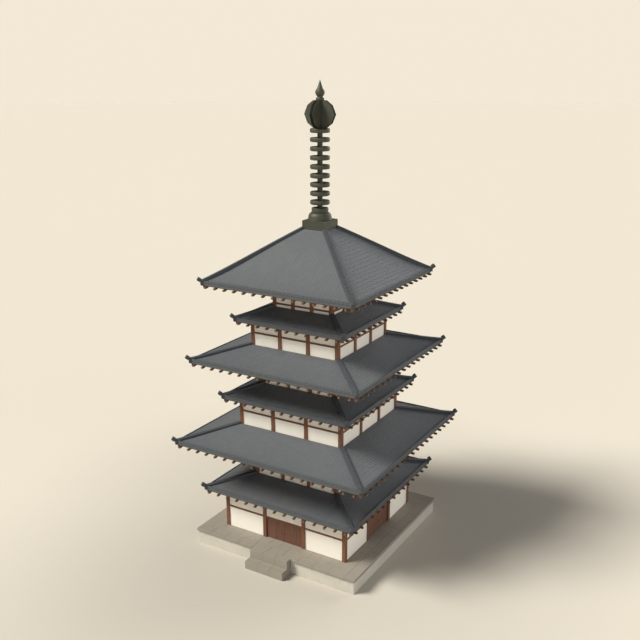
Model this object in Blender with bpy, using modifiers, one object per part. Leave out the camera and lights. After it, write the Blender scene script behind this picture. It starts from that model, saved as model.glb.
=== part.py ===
"""A three-storey timber pagoda with a pent roof under each main roof, in metres, +Z up.

The origin is the middle of the platform's foot. The front faces -Y, and each half-width is measured
from the vertical axis to the outer face of a square ring of posts, eaves or stone.
"""

import math

import bmesh
import bpy
from mathutils import Matrix, Vector

GAP = 0.0003
SNAP_DIGITS = 5
WELD = 0.00005
SMOOTH_BELOW = 35.0

# Stone base
PLATFORM_HALF = 6.73
COPING_HALF = 6.83
PLATFORM_TOP = 1.20
COPING_THICK = 0.22
STEP_HALF_WIDTH = 1.60
STEP_RISE = 0.60
STEP_LANDING_Y = 7.27
STEP_TREAD_Y = 7.92

# Timber frame
POST = 0.29
PROUD = 0.08
PLASTER_BACK = 0.32
GROUND_PLASTER_BACK = 0.26
RAIL_HEIGHT = 0.13
RAIL_FRONT = 0.02
PLATE_DEPTH = 0.24
SHY = 0.02
BEARING = 0.02
ROOF_LAP = 0.04

# Half-widths of the walls, to the outer faces of their posts
GROUND_HALF = 5.22
CORE_HALVES = {1: 3.55, 2: 3.00, 3: 2.50}
STOREY_HALVES = {2: 4.348, 3: 3.663}

# Middle heights of the rails
GROUND_RAIL = 2.885
STOREY_RAILS = {2: 10.56, 3: 16.52}
CORE_RAILS = {3: 18.605}

# Roofs: eave half-width and height of the eave's lower edge, then how high the roofs rise from there
FASCIA = 0.27
PENT_EAVES = {1: (6.31, 4.34), 2: (5.244, 11.543), 3: (4.50, 17.388)}
PENT_RISE = 0.705
MAIN_EAVES = {1: (7.738, 8.279), 2: (6.839, 14.511), 3: (6.086, 20.196)}
MAIN_FEET = {1: 9.500, 2: 15.604}
FLARE_AT = 0.26
FLARE_SAG = 0.05
TOP_FLARE_SAG = 0.16
SOFFIT_SLOPE = 0.30
SOFFIT_BOARD = 0.08
APEX_HALF = 0.95
APEX_HOLE = 0.45
APEX_Z = 23.90
SOFFIT_RUN = 1.10
SOFFIT_TAPER = 0.10

# Rafters
RAFTER_WIDTH = 0.155
RAFTER_DEPTH = 0.14
RAFTER_PITCH = 0.82
RAFTER_INSET = 0.45
RAFTER_REACH = 0.20
HEEL_STRIP = 0.30
HEEL_PAST_POST = 0.05
HIP_STRIP = 0.20
MITRE = 0.02
HIP_BEAM_WIDTH = 0.22
HIP_BEAM_DEPTH = 0.20
HIP_BEAM_DROP = 0.03
HIP_BEAM_SHORT = 0.10

# Hip ridges and the upturned blocks at their tips
RIDGE_WIDTH = 0.30
RIDGE_PROUD = 0.13
RIDGE_SUNK = 0.12
TIP_BLOCK = 0.26
TIP_OUT = 0.10
TIP_UP = 0.455
TIP_TILT = 35.0

# Doors
LEAF_THICK = 0.08
LEAF_SETBACK = 0.13
LEAF_HEEL = 0.055
PIVOT_FROM_POST = 0.075
LEAF_CLEAR = 0.015
MEETING_GAP = 0.005
PIN_RADIUS = 0.03
PIN_SIDES = 12
FIXED_DOOR_GROOVE = 0.015

# Finial
BOX_HALF = 0.93
BOX_HEIGHT = 0.62
BOWL_RADIUS = 0.866
BOWL_HEIGHT = 0.53
BOWL_LIP = 0.08
BOWL_STEPS = 5
DISC_RADIUS = 0.60
DISC_HEIGHT = 0.33
SHAFT_RADIUS = 0.19
RING_RADIUS = 0.70
RING_THICK = 0.26
RING_COUNT = 9
RING_LOWEST = 25.75
RING_SPACING = 0.621
GLOBE_Z = 31.83
GLOBE_HALF_WIDTH = 1.22
GLOBE_SHOULDER = (0.955, 0.60)
GLOBE_CROWN = (0.50, 0.93)
GLOBE_THICK = 0.25
COLLAR_RADIUS = 0.29
COLLAR_TOP = 32.99
COLLAR_CHAMFER = 0.10
BALL_RADIUS = 0.325
BALL_Z = 33.28
BALL_ANGLES = (58.0, -52.0)
BALL_STEPS = 8
TOTAL_HEIGHT = 34.13
ROUND_SIDES = 16

SIDES = {"front": 0.0, "right": 90.0, "back": 180.0, "left": 270.0}


def clear_scene():
    for item in list(bpy.data.objects):
        bpy.data.objects.remove(item, do_unlink=True)


def make_collection(name):
    group = bpy.data.collections.new(name)
    bpy.context.scene.collection.children.link(group)
    return group


def make_material(name, colour, roughness, metallic=0.0):
    material = bpy.data.materials.new(name)
    material.use_nodes = True
    shader = material.node_tree.nodes["Principled BSDF"]
    shader.inputs["Base Color"].default_value = (*colour, 1.0)
    shader.inputs["Roughness"].default_value = roughness
    shader.inputs["Metallic"].default_value = metallic
    return material


def evaluated_mesh(item):
    """The mesh that an object's modifiers or curve settings make, in world space; the object is removed."""
    bpy.context.view_layer.update()
    graph = bpy.context.evaluated_depsgraph_get()
    mesh = bpy.data.meshes.new_from_object(item.evaluated_get(graph))
    mesh.transform(item.matrix_world)
    bpy.data.objects.remove(item, do_unlink=True)
    return mesh


def temporary(name, data):
    item = bpy.data.objects.new(name, data)
    bpy.context.scene.collection.objects.link(item)
    return item


def weld(mesh):
    shape = bmesh.new()
    shape.from_mesh(mesh)
    bmesh.ops.remove_doubles(shape, verts=shape.verts, dist=WELD)
    bmesh.ops.recalc_face_normals(shape, faces=shape.faces)
    shape.to_mesh(mesh)
    shape.free()
    return mesh


def box(low, high):
    """A box between two opposite corners."""
    low, high = Vector(low), Vector(high)
    shape = bmesh.new()
    bmesh.ops.create_cube(shape, size=1.0)
    bmesh.ops.scale(shape, vec=high - low, verts=shape.verts)
    bmesh.ops.translate(shape, vec=(low + high) / 2, verts=shape.verts)
    mesh = bpy.data.meshes.new("box")
    shape.to_mesh(mesh)
    shape.free()
    return mesh


def joined(meshes):
    """Shapes that do not touch, as one mesh."""
    shape = bmesh.new()
    for mesh in meshes:
        shape.from_mesh(mesh)
    result = bpy.data.meshes.new("joined")
    shape.to_mesh(result)
    shape.free()
    return result


def snapped(mesh):
    """A mesh with its corners on a fine grid, so that square shapes stay exactly square after a turn."""
    for corner in mesh.vertices:
        corner.co = [round(value, SNAP_DIGITS) for value in corner.co]
    return mesh


def turned_about_z(mesh, degrees):
    copy = mesh.copy()
    copy.transform(Matrix.Rotation(math.radians(degrees), 4, "Z"))
    return snapped(copy)


def on_four_sides(mesh):
    return joined([turned_about_z(mesh, angle) for angle in SIDES.values()])


def combined(first, second, operation):
    """The union or difference of two closed meshes."""
    body = temporary("body", first)
    tool = temporary("tool", second)
    cut = body.modifiers.new("combine", "BOOLEAN")
    cut.operation = operation
    cut.solver = "EXACT"
    cut.object = tool
    mesh = evaluated_mesh(body)
    bpy.data.objects.remove(tool, do_unlink=True)
    return weld(mesh)


def outline(points, low, high, hole=None):
    """A flat outline in the XY plane, with an optional hole, made thick from low to high."""
    curve = bpy.data.curves.new("outline", "CURVE")
    curve.dimensions = "2D"
    curve.fill_mode = "BOTH"
    curve.extrude = (high - low) / 2
    for loop in (points, hole):
        if loop is None:
            continue
        spline = curve.splines.new("POLY")
        spline.points.add(len(loop) - 1)
        for point, place in zip(spline.points, loop):
            point.co = (*place, 0.0, 1.0)
        spline.use_cyclic_u = True
    item = temporary("outline", curve)
    item.location.z = (low + high) / 2
    return weld(evaluated_mesh(item))


def turned(profile, sides=ROUND_SIDES, square=False):
    """A profile of (radius, height) points turned about Z; a square turn gives a ring with mitred corners."""
    reach = math.sqrt(2) if square else 1.0
    shape = bmesh.new()
    points = [shape.verts.new((radius * reach, 0.0, height)) for radius, height in profile]
    for first, second in zip(points, points[1:]):
        shape.edges.new((first, second))
    if square:
        shape.edges.new((points[-1], points[0]))
    mesh = bpy.data.meshes.new("profile")
    shape.to_mesh(mesh)
    shape.free()
    item = temporary("profile", mesh)
    screw = item.modifiers.new("turn", "SCREW")
    screw.axis = "Z"
    screw.angle = math.tau
    screw.steps = 4 if square else sides
    screw.render_steps = screw.steps
    screw.use_merge_vertices = True
    screw.merge_threshold = 0.0001
    if square:
        item.rotation_euler.z = math.radians(45)
        return snapped(weld(evaluated_mesh(item)))
    return weld(evaluated_mesh(item))


def square_ring(outer, inner, low, high):
    return turned([(outer, high), (outer, low), (inner, low), (inner, high)], square=True)


def part(name, mesh, material, group, round_shape=False):
    mesh.name = name
    mesh.materials.clear()
    mesh.materials.append(material)
    item = bpy.data.objects.new(name, mesh)
    group.objects.link(item)
    if round_shape:
        mesh.shade_smooth()
        mesh.set_sharp_from_angle(angle=math.radians(SMOOTH_BELOW))
    return item


class Roof:
    """The slopes of one roof, as heights at a distance from the axis."""

    def __init__(self, eave, low, foot_half, foot_z):
        self.eave = eave
        self.low = low
        self.foot_half = foot_half
        self.foot_z = foot_z
        self.slope = (foot_z - low - FASCIA) / (eave - foot_half)
        self.soffit_slope = self.slope

    def underside(self, half):
        return self.low + (self.eave - half) * self.soffit_slope

    def top(self, half):
        return self.low + FASCIA + (self.eave - half) * self.slope

    def flare_half(self):
        return self.eave - FLARE_AT * (self.eave - self.foot_half)


def make_roofs():
    roofs = {}
    for level in (1, 2, 3):
        eave, low = PENT_EAVES[level]
        roofs["pent", level] = Roof(eave, low, CORE_HALVES[level], low + FASCIA + PENT_RISE)
    for level in (1, 2):
        eave, low = MAIN_EAVES[level]
        roofs["main", level] = Roof(eave, low, STOREY_HALVES[level + 1], MAIN_FEET[level])
    eave, low = MAIN_EAVES[3]
    roofs["main", 3] = Roof(eave, low, APEX_HALF, APEX_Z)
    roofs["main", 3].soffit_slope = SOFFIT_SLOPE
    return roofs


def make_platform(materials, group):
    top = PLATFORM_TOP - COPING_THICK
    body = box((-PLATFORM_HALF, -PLATFORM_HALF, 0), (PLATFORM_HALF, PLATFORM_HALF, top - GAP))
    part("platform", body, materials["stone"], group)
    coping = box((-COPING_HALF, -COPING_HALF, top), (COPING_HALF, COPING_HALF, PLATFORM_TOP))
    part("platform_coping", coping, materials["coping"], group)


def make_steps(materials, group):
    """Two wide steps in front of the platform, cut back under the coping."""
    under = PLATFORM_TOP - COPING_THICK - GAP
    section = [
        (-PLATFORM_HALF - GAP, 0),
        (-PLATFORM_HALF - GAP, under),
        (-COPING_HALF - GAP, under),
        (-COPING_HALF - GAP, PLATFORM_TOP),
        (-STEP_LANDING_Y, PLATFORM_TOP),
        (-STEP_LANDING_Y, STEP_RISE),
        (-STEP_TREAD_Y, STEP_RISE),
        (-STEP_TREAD_Y, 0),
    ]
    mesh = outline(section, -STEP_HALF_WIDTH, STEP_HALF_WIDTH)
    # the outline's X, Y and Z become the world's Y, Z and X
    mesh.transform(Matrix(((0, 0, 1, 0), (1, 0, 0, 0), (0, 1, 0, 0), (0, 0, 0, 1))))
    part("front_steps", mesh, materials["coping"], group)


def post_centres(half):
    """Where the four posts of one side stand along it."""
    end = half - POST / 2
    return [-end, -end / 3, end / 3, end]


def ring_of_posts(half, low, high):
    """Twelve posts around a square, four to a side."""
    ring = []
    for x in post_centres(half)[:3]:
        ring.append(box((x - POST / 2, -half, low), (x + POST / 2, -half + POST, high)))
    return on_four_sides(joined(ring))


def rail_ring(half, middle):
    low, high = middle - RAIL_HEIGHT / 2, middle + RAIL_HEIGHT / 2
    return square_ring(half - RAIL_FRONT, half - PROUD + GAP, low, high)


def plate_ring(half, roof, depth=PLATE_DEPTH):
    """The timber on top of a ring of posts, its top cut to the slope of the rafters that it carries."""
    outer, inner = half - SHY, half - POST + SHY
    tops = [roof.underside(side) - RAFTER_DEPTH - 2 * GAP for side in (outer, inner)]
    low = tops[0] - depth
    return turned([(outer, tops[0]), (outer, low), (inner, low), (inner, tops[1])], square=True), low


def sill_ring(half, roof, top):
    """The timber under a ring of posts, its foot cut to the slope of the rafters that it stands on."""
    outer, inner = half - SHY, half - POST + SHY
    feet = [roof.underside(side) + GAP for side in (outer, inner)]
    return turned([(outer, top), (outer, feet[0]), (inner, feet[1]), (inner, top)], square=True)


def plaster_ring(half, low, high):
    """A plaster wall around a storey, with a groove for each post."""
    wall = square_ring(half - PROUD, half - PLASTER_BACK, low, high)
    groove = POST / 2 + GAP
    grooves = []
    for x in post_centres(half)[:3]:
        corner = (x - groove, -half - GAP, low - POST)
        grooves.append(box(corner, (x + groove, -half + POST + GAP, high + POST)))
    return combined(wall, on_four_sides(joined(grooves)), "DIFFERENCE")


def make_ground_frames(roof, materials, group):
    """Posts and rail of each ground-storey wall; the corner posts belong to the front and the back."""
    plate, post_top = plate_ring(GROUND_HALF, roof)
    part("ground_wall_plate", plate, materials["timber"], group)
    low, high = PLATFORM_TOP + GAP, post_top - GAP
    rail_low, rail_high = GROUND_RAIL - RAIL_HEIGHT / 2, GROUND_RAIL + RAIL_HEIGHT / 2
    for name, angle in SIDES.items():
        along = name in ("front", "back")
        centres = post_centres(GROUND_HALF)
        if not along:
            centres = centres[1:3]
        posts = []
        for x in centres:
            posts.append(box((x - POST / 2, -GROUND_HALF, low), (x + POST / 2, -GROUND_HALF + POST, high)))
        reach = GROUND_HALF - RAIL_FRONT if along else GROUND_HALF - POST - GAP
        rail_front, rail_back = -GROUND_HALF + RAIL_FRONT, -GROUND_HALF + PROUD - GAP
        rail = box((-reach, rail_front, rail_low), (reach, rail_back, rail_high))
        frame = combined(joined(posts), rail, "UNION")
        part(name + "_frame", turned_about_z(frame, angle), materials["timber"], group)
    return high


def door_opening():
    """Half-width of the doorway between its two posts."""
    return (GROUND_HALF - POST / 2) / 3 - POST / 2


def make_ground_walls(wall_top, materials, group):
    """Plaster beside and over each doorway: three panels where the door opens, else one wall."""
    face, back = -GROUND_HALF + PROUD, -GROUND_HALF + GROUND_PLASTER_BACK
    low = PLATFORM_TOP + GAP
    head = GROUND_RAIL - RAIL_HEIGHT / 2
    opening = door_opening()
    beside = opening + POST + GAP
    end = GROUND_HALF - POST - GAP
    inner_end = GROUND_HALF - PLASTER_BACK - GAP
    panels = [
        box((-end, face, low), (-beside, back, wall_top)),
        box((beside, face, low), (end, back, wall_top)),
        box((-opening + GAP, face, head), (opening - GAP, back, wall_top)),
    ]
    panel_names = {
        "front": ("front_left_panel", "front_right_panel", "front_door_head"),
        "right": ("right_front_panel", "right_back_panel", "right_door_head"),
    }
    for side, names in panel_names.items():
        for name, mesh in zip(names, panels):
            part(name, turned_about_z(mesh, SIDES[side]), materials["plaster"], group)
    for side in ("back", "left"):
        wall = box((-end, face, low), (end, -GROUND_HALF + PLASTER_BACK, wall_top))
        cut = opening + BEARING
        doorway = box((-cut, face - POST, low - POST), (cut, back + POST, head))
        grooves = []
        for centre in post_centres(GROUND_HALF)[1:3]:
            side_low = (centre - POST / 2 - GAP, face - POST, low - POST)
            side_high = (centre + POST / 2 + GAP, -GROUND_HALF + POST + GAP, wall_top + POST)
            grooves.append(box(side_low, side_high))
        for left, right in ((-GROUND_HALF, -inner_end), (inner_end, GROUND_HALF)):
            corner_low = (left, -GROUND_HALF + POST, low - POST)
            grooves.append(box(corner_low, (right, -GROUND_HALF + 2 * POST, wall_top + POST)))
        wall = combined(wall, doorway, "DIFFERENCE")
        wall = combined(wall, joined(grooves), "DIFFERENCE")
        part(side + "_wall", turned_about_z(wall, SIDES[side]), materials["plaster"], group)


def leaf_mesh():
    """The left-hand leaf of a pair about its pivot: a slab with a pin at its heel from sill to head."""
    head = GROUND_RAIL - RAIL_HEIGHT / 2
    low, high = PLATFORM_TOP + LEAF_CLEAR, head - LEAF_CLEAR
    reach = door_opening() - PIVOT_FROM_POST - MEETING_GAP
    slab = box((-LEAF_HEEL, -LEAF_THICK / 2, low), (reach, LEAF_THICK / 2, high))
    shape = bmesh.new()
    bmesh.ops.create_cone(
        shape,
        cap_ends=True,
        segments=PIN_SIDES,
        radius1=PIN_RADIUS,
        radius2=PIN_RADIUS,
        depth=head - PLATFORM_TOP - 2 * GAP,
    )
    bmesh.ops.translate(shape, vec=(0, 0, (head + PLATFORM_TOP) / 2), verts=shape.verts)
    pin = bpy.data.meshes.new("pin")
    shape.to_mesh(pin)
    shape.free()
    return combined(slab, pin, "UNION")


def make_doors(materials, group):
    """A pair of leaves on pins in the front and the right doorway, and a closed pair in the other two."""
    left_leaf = leaf_mesh()
    right_leaf = turned_about_z(left_leaf, 180)
    pivot = door_opening() - PIVOT_FROM_POST
    pairs = {"front": ("left", "right"), "right": ("front", "back")}
    for side, names in pairs.items():
        spin = Matrix.Rotation(math.radians(SIDES[side]), 4, "Z")
        for name, mesh, x in zip(names, (left_leaf, right_leaf), (-pivot, pivot)):
            leaf = part(f"{side}_door_{name}_leaf", mesh.copy(), materials["door"], group)
            leaf.location = spin @ Vector((x, -GROUND_HALF + LEAF_SETBACK, 0))
            leaf.rotation_euler.z = math.radians(SIDES[side])
    opening = door_opening() - GAP
    head = GROUND_RAIL - RAIL_HEIGHT / 2
    middle = -GROUND_HALF + LEAF_SETBACK
    outer, inner = middle - LEAF_THICK / 2, middle + LEAF_THICK / 2
    closed = box((-opening, outer, PLATFORM_TOP + GAP), (opening, inner, head - GAP))
    joint = box(
        (-FIXED_DOOR_GROOVE, middle - LEAF_THICK, PLATFORM_TOP - POST),
        (FIXED_DOOR_GROOVE, outer + FIXED_DOOR_GROOVE, head + POST),
    )
    closed = combined(closed, joint, "DIFFERENCE")
    for side in ("back", "left"):
        part(side + "_door", turned_about_z(closed, SIDES[side]), materials["door"], group)


def make_core(level, roofs, materials, group):
    """The inner posts of a storey, which carry its main roof, and the plaster above its pent roof."""
    half = CORE_HALVES[level]
    plate, post_top = plate_ring(half, roofs["main", level])
    beam_top = roofs["pent", level].foot_z - ROOF_LAP
    rings = [plate, square_ring(half - SHY, half - POST + SHY, beam_top - FASCIA, beam_top)]
    if level in CORE_RAILS:
        rings.append(rail_ring(half, CORE_RAILS[level]))
    if level == 1:
        post_low = PLATFORM_TOP + GAP
    else:
        below = roofs["main", level - 1]
        post_low = below.underside(half - POST) + BEARING
        rings.append(sill_ring(half, below, post_low + PLATE_DEPTH))
    posts = ring_of_posts(half, post_low, post_top + BEARING)
    frame = combined(joined(rings), posts, "UNION")
    part(f"core_frame_{level}", frame, materials["timber"], group)
    wall = plaster_ring(half, beam_top + GAP, post_top - GAP)
    part(f"upper_wall_{level}", wall, materials["plaster"], group)


def make_storey(level, roofs, materials, group):
    """The outer wall of an upper storey, which stands on the main roof below and carries a pent roof."""
    half = STOREY_HALVES[level]
    below, above = roofs["main", level - 1], roofs["pent", level]
    plate, post_top = plate_ring(half, above)
    sill_top = MAIN_FEET[level - 1] - ROOF_LAP
    rings = [plate, rail_ring(half, STOREY_RAILS[level]), sill_ring(half, below, sill_top)]
    post_low = below.underside(half - POST) + BEARING
    posts = ring_of_posts(half, post_low, post_top + BEARING)
    frame = combined(joined(rings), posts, "UNION")
    part(f"storey_{level}_frame", frame, materials["timber"], group)
    wall = plaster_ring(half, sill_top + GAP, post_top - GAP)
    part(f"storey_{level}_wall", wall, materials["plaster"], group)


def rafter_places(eave):
    """Where the rafters of one side lie along it."""
    run = 2 * (eave - RAFTER_INSET)
    count = round(run / RAFTER_PITCH)
    return [-run / 2 + run * step / count for step in range(count + 1)]


def comb_points(eave, inner):
    """The outline, seen from above, of one side's rafters with the strips that they spring from."""
    strip = inner + HEEL_STRIP
    tip = eave + RAFTER_REACH
    corner = eave - HIP_BEAM_SHORT

    def floor(u):
        return max(strip, abs(u) + HIP_STRIP)

    teeth = []
    for u in rafter_places(eave):
        left, right = u - RAFTER_WIDTH / 2, u + RAFTER_WIDTH / 2
        teeth.append([(left, floor(left)), (left, tip), (right, tip), (right, floor(right))])
    points = [(-inner + MITRE, inner), (-corner + MITRE, corner), (-corner + HIP_STRIP, corner)]
    for tooth in teeth:
        points += tooth
    points += [(corner - HIP_STRIP, corner), (corner - MITRE, corner), (inner - MITRE, inner)]
    return points


def sloped(mesh, roof, drop, diagonal=False):
    """A shape drawn flat, with its top at zero, laid under a roof slope whose height falls towards -Y.

    A diagonal shape lies under the hip between the -Y and the -X slopes.
    """
    top = roof.underside(0.0) - drop
    along = roof.soffit_slope
    lean_x = along / 2 if diagonal else 0.0
    lean_y = along / 2 if diagonal else along
    mesh.transform(Matrix(((1, 0, 0, 0), (0, 1, 0, 0), (lean_x, lean_y, 1, top), (0, 0, 0, 1))))
    return mesh


def make_rafters(name, roof, inner, carrier, materials, group):
    """A ring of rafters from an inner half-width to the eaves, joined by a beam under each hip.

    The hip beams start outside the wall plate that carries the rafters.
    """
    points = [(u, -half) for u, half in comb_points(roof.eave, inner)]
    comb = sloped(outline(points, -RAFTER_DEPTH, 0.0), roof, GAP)
    across = HIP_BEAM_WIDTH / 2 / math.sqrt(2)
    near, far = carrier + MITRE, roof.eave - HIP_BEAM_SHORT
    strip = [
        (-near + across, -near - across),
        (-near - across, -near + across),
        (-far - across, -far + across),
        (-far + across, -far - across),
    ]
    beam = sloped(outline(strip, -HIP_BEAM_DEPTH, 0.0), roof, HIP_BEAM_DROP, diagonal=True)
    ring = combined(on_four_sides(comb), on_four_sides(beam), "UNION")
    part(name, ring, materials["timber"], group)


def hip_ridge(surface):
    """A bar along the -X, -Y hip, over (half-width, height) points on the roof's surface."""
    top = [(half * math.sqrt(2), height + RIDGE_PROUD) for half, height in surface]
    foot = [(half * math.sqrt(2), height - RIDGE_SUNK) for half, height in reversed(surface)]
    mesh = outline(top + foot, -RIDGE_WIDTH / 2, RIDGE_WIDTH / 2)
    away = Vector((-1, -1, 0)).normalized()
    across = Vector((-1, 1, 0)).normalized()
    up = Vector((0, 0, 1))
    # the outline's X runs out along the hip and its Y upwards
    mesh.transform(Matrix((away, up, across)).transposed().to_4x4())
    return weld(mesh)


def tip_block(eave, low):
    """The upturned block at the end of a hip ridge."""
    side = TIP_BLOCK / 2
    shape = box((-side, -side, -side), (side, side, side))
    tilt = Matrix.Rotation(math.radians(45), 4, "Z") @ Matrix.Rotation(math.radians(TIP_TILT), 4, "Y")
    place = Matrix.Translation((-eave - TIP_OUT, -eave - TIP_OUT, low + TIP_UP))
    shape.transform(place @ tilt)
    return shape


def with_ridges(ring, roof, surface):
    """A roof ring united with the ridge along each hip and the block at its tip."""
    ring = combined(ring, on_four_sides(hip_ridge(surface)), "UNION")
    return combined(ring, on_four_sides(tip_block(roof.eave, roof.low)), "UNION")


def make_ring_roof(name, roof, materials, group):
    """A roof around a wall, of even thickness, with a slight flare towards the eaves."""
    inner = roof.foot_half + GAP
    bend = roof.flare_half()
    bend_top = roof.top(bend) - FLARE_SAG
    section = [
        (inner, roof.top(inner)),
        (bend, bend_top),
        (roof.eave, roof.low + FASCIA),
        (roof.eave, roof.low),
        (inner, roof.underside(inner)),
    ]
    reach = roof.eave + TIP_OUT / 2
    end = (reach, roof.low + FASCIA + RIDGE_PROUD / 2)
    surface = [(inner + RIDGE_WIDTH / 2, roof.top(inner + RIDGE_WIDTH / 2)), (bend, bend_top), end]
    mesh = with_ridges(turned(section, square=True), roof, surface)
    part(name, mesh, materials["tile"], group)


def make_top_roof(roof, materials, group):
    """The top roof: a steep shell over an open roof space, with eaves boarded at the rafters' slope."""
    bend = roof.flare_half()
    bend_top = roof.top(bend) - TOP_FLARE_SAG
    heel = CORE_HALVES[3] - POST
    split = roof.eave - SOFFIT_RUN
    section = [
        (APEX_HALF, APEX_Z - GAP),
        (bend, bend_top),
        (roof.eave, roof.low + FASCIA),
        (roof.eave, roof.low),
        (heel, roof.underside(heel)),
        (heel, roof.underside(heel) + SOFFIT_BOARD),
        (split - SOFFIT_TAPER, roof.underside(split - SOFFIT_TAPER) + SOFFIT_BOARD),
        (split, roof.top(split) - TOP_FLARE_SAG - FASCIA),
        (APEX_HOLE, APEX_Z - GAP - FASCIA),
        (APEX_HOLE, APEX_Z - GAP),
    ]
    end = (roof.eave + TIP_OUT / 2, roof.low + FASCIA + RIDGE_PROUD / 2)
    start = (BOX_HALF + RIDGE_WIDTH / 2, roof.top(BOX_HALF + RIDGE_WIDTH / 2))
    mesh = with_ridges(turned(section, square=True), roof, [start, (bend, bend_top), end])
    part("main_roof_3", mesh, materials["tile"], group)


def make_finial(materials, group):
    """The bronze finial: box, bowl, ringed shaft, crossed plates, and ball with spike."""
    bronze = materials["bronze"]
    base_top = APEX_Z + BOX_HEIGHT
    part("finial_base", box((-BOX_HALF, -BOX_HALF, APEX_Z), (BOX_HALF, BOX_HALF, base_top)), bronze, group)

    bowl_foot = base_top + GAP
    bowl_top = bowl_foot + BOWL_HEIGHT
    profile = [(0.0, bowl_top)]
    for step in range(BOWL_STEPS + 1):
        turn = math.radians(90) * (1 - step / BOWL_STEPS)
        radius = DISC_RADIUS + (BOWL_RADIUS - DISC_RADIUS) * math.cos(turn)
        profile.append((radius, bowl_foot + BOWL_LIP + (BOWL_HEIGHT - BOWL_LIP) * math.sin(turn)))
    profile += [(BOWL_RADIUS, bowl_foot), (0.0, bowl_foot)]
    part("finial_bowl", turned(profile), bronze, group, round_shape=True)

    globe_low = GLOBE_Z - GLOBE_CROWN[1]
    disc_low = bowl_top + GAP
    profile = [(0.0, globe_low - GAP), (SHAFT_RADIUS, globe_low - GAP)]
    for ring in reversed(range(RING_COUNT)):
        middle = RING_LOWEST + ring * RING_SPACING
        low, high = middle - RING_THICK / 2, middle + RING_THICK / 2
        profile += [(SHAFT_RADIUS, high), (RING_RADIUS, high), (RING_RADIUS, low), (SHAFT_RADIUS, low)]
    disc_high = disc_low + DISC_HEIGHT
    profile += [(SHAFT_RADIUS, disc_high), (DISC_RADIUS, disc_high)]
    profile += [(DISC_RADIUS, disc_low), (0.0, disc_low)]
    part("finial_shaft", turned(profile), bronze, group, round_shape=True)

    quarter = [(GLOBE_HALF_WIDTH, 0.0), GLOBE_SHOULDER, GLOBE_CROWN]
    rim = quarter + [(-x, z) for x, z in reversed(quarter)]
    rim += [(x, -z) for x, z in reversed(rim)][1:-1]
    plate = outline(rim, -GLOBE_THICK / 2, GLOBE_THICK / 2)
    stand = Matrix.Translation((0, 0, GLOBE_Z)) @ Matrix.Rotation(math.radians(90), 4, "X")
    plate.transform(stand)
    crossed = combined(plate, turned_about_z(plate, 90), "UNION")
    part("finial_plates", crossed, bronze, group)

    collar_low = GLOBE_Z + GLOBE_CROWN[1] + GAP
    profile = [(0.0, TOTAL_HEIGHT)]
    start, end = BALL_ANGLES
    for step in range(BALL_STEPS + 1):
        turn = math.radians(start + (end - start) * step / BALL_STEPS)
        profile.append((BALL_RADIUS * math.cos(turn), BALL_Z + BALL_RADIUS * math.sin(turn)))
    profile += [(SHAFT_RADIUS, COLLAR_TOP), (COLLAR_RADIUS, COLLAR_TOP - COLLAR_CHAMFER)]
    profile.append((COLLAR_RADIUS, collar_low))
    profile.append((0.0, collar_low))
    part("finial_spire", turned(profile), bronze, group, round_shape=True)


def main():
    clear_scene()
    group = make_collection("pagoda")
    materials = {
        "stone": make_material("stone", (0.42, 0.37, 0.29), 0.9),
        "coping": make_material("coping_stone", (0.36, 0.31, 0.24), 0.9),
        "timber": make_material("timber", (0.17, 0.07, 0.035), 0.7),
        "plaster": make_material("plaster", (0.83, 0.76, 0.62), 0.9),
        "door": make_material("door_boards", (0.11, 0.05, 0.03), 0.7),
        "tile": make_material("roof_tile", (0.10, 0.11, 0.12), 0.6),
        "bronze": make_material("bronze", (0.09, 0.09, 0.06), 0.5, 0.6),
    }
    roofs = make_roofs()
    make_platform(materials, group)
    make_steps(materials, group)
    wall_top = make_ground_frames(roofs["pent", 1], materials, group)
    make_ground_walls(wall_top, materials, group)
    make_doors(materials, group)
    for level in (1, 2, 3):
        make_core(level, roofs, materials, group)
        if level > 1:
            make_storey(level, roofs, materials, group)
        core = CORE_HALVES[level]
        outer = STOREY_HALVES.get(level, GROUND_HALF)
        heel = CORE_HALVES[min(level + 1, 3)] - POST - HEEL_PAST_POST
        make_rafters(f"pent_rafters_{level}", roofs["pent", level], core + GAP, outer, materials, group)
        make_ring_roof(f"pent_roof_{level}", roofs["pent", level], materials, group)
        make_rafters(f"main_rafters_{level}", roofs["main", level], heel, core, materials, group)
        if level < 3:
            make_ring_roof(f"main_roof_{level}", roofs["main", level], materials, group)
    make_top_roof(roofs["main", 3], materials, group)
    make_finial(materials, group)


main()
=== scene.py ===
"""A three-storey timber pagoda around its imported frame: tiles, timbers, plaster, stone and bronze.

All sizes are in metres. The front faces -Y. Every finished piece sits at the origin, with its place in
its mesh.
"""

import functools
import math
import random

import bmesh
import bpy
from mathutils import Matrix, Vector


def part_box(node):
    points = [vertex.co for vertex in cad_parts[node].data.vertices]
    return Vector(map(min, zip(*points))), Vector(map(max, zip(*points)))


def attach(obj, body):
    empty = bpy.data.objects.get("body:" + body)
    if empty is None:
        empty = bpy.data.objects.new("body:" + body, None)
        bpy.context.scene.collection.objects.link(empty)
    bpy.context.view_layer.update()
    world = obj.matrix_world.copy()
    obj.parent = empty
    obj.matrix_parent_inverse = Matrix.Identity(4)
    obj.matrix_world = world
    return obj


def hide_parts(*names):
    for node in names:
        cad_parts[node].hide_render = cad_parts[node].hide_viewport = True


bl_info = {
    "name": "Timber Pagoda",
    "version": (1, 0, 0),
    "blender": (4, 5, 0),
    "location": "3D View > Sidebar > Pagoda",
    "description": "Tiled roofs, timbers, plaster, stone and bronze for a three-storey pagoda",
    "category": "Add Mesh",
}

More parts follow.
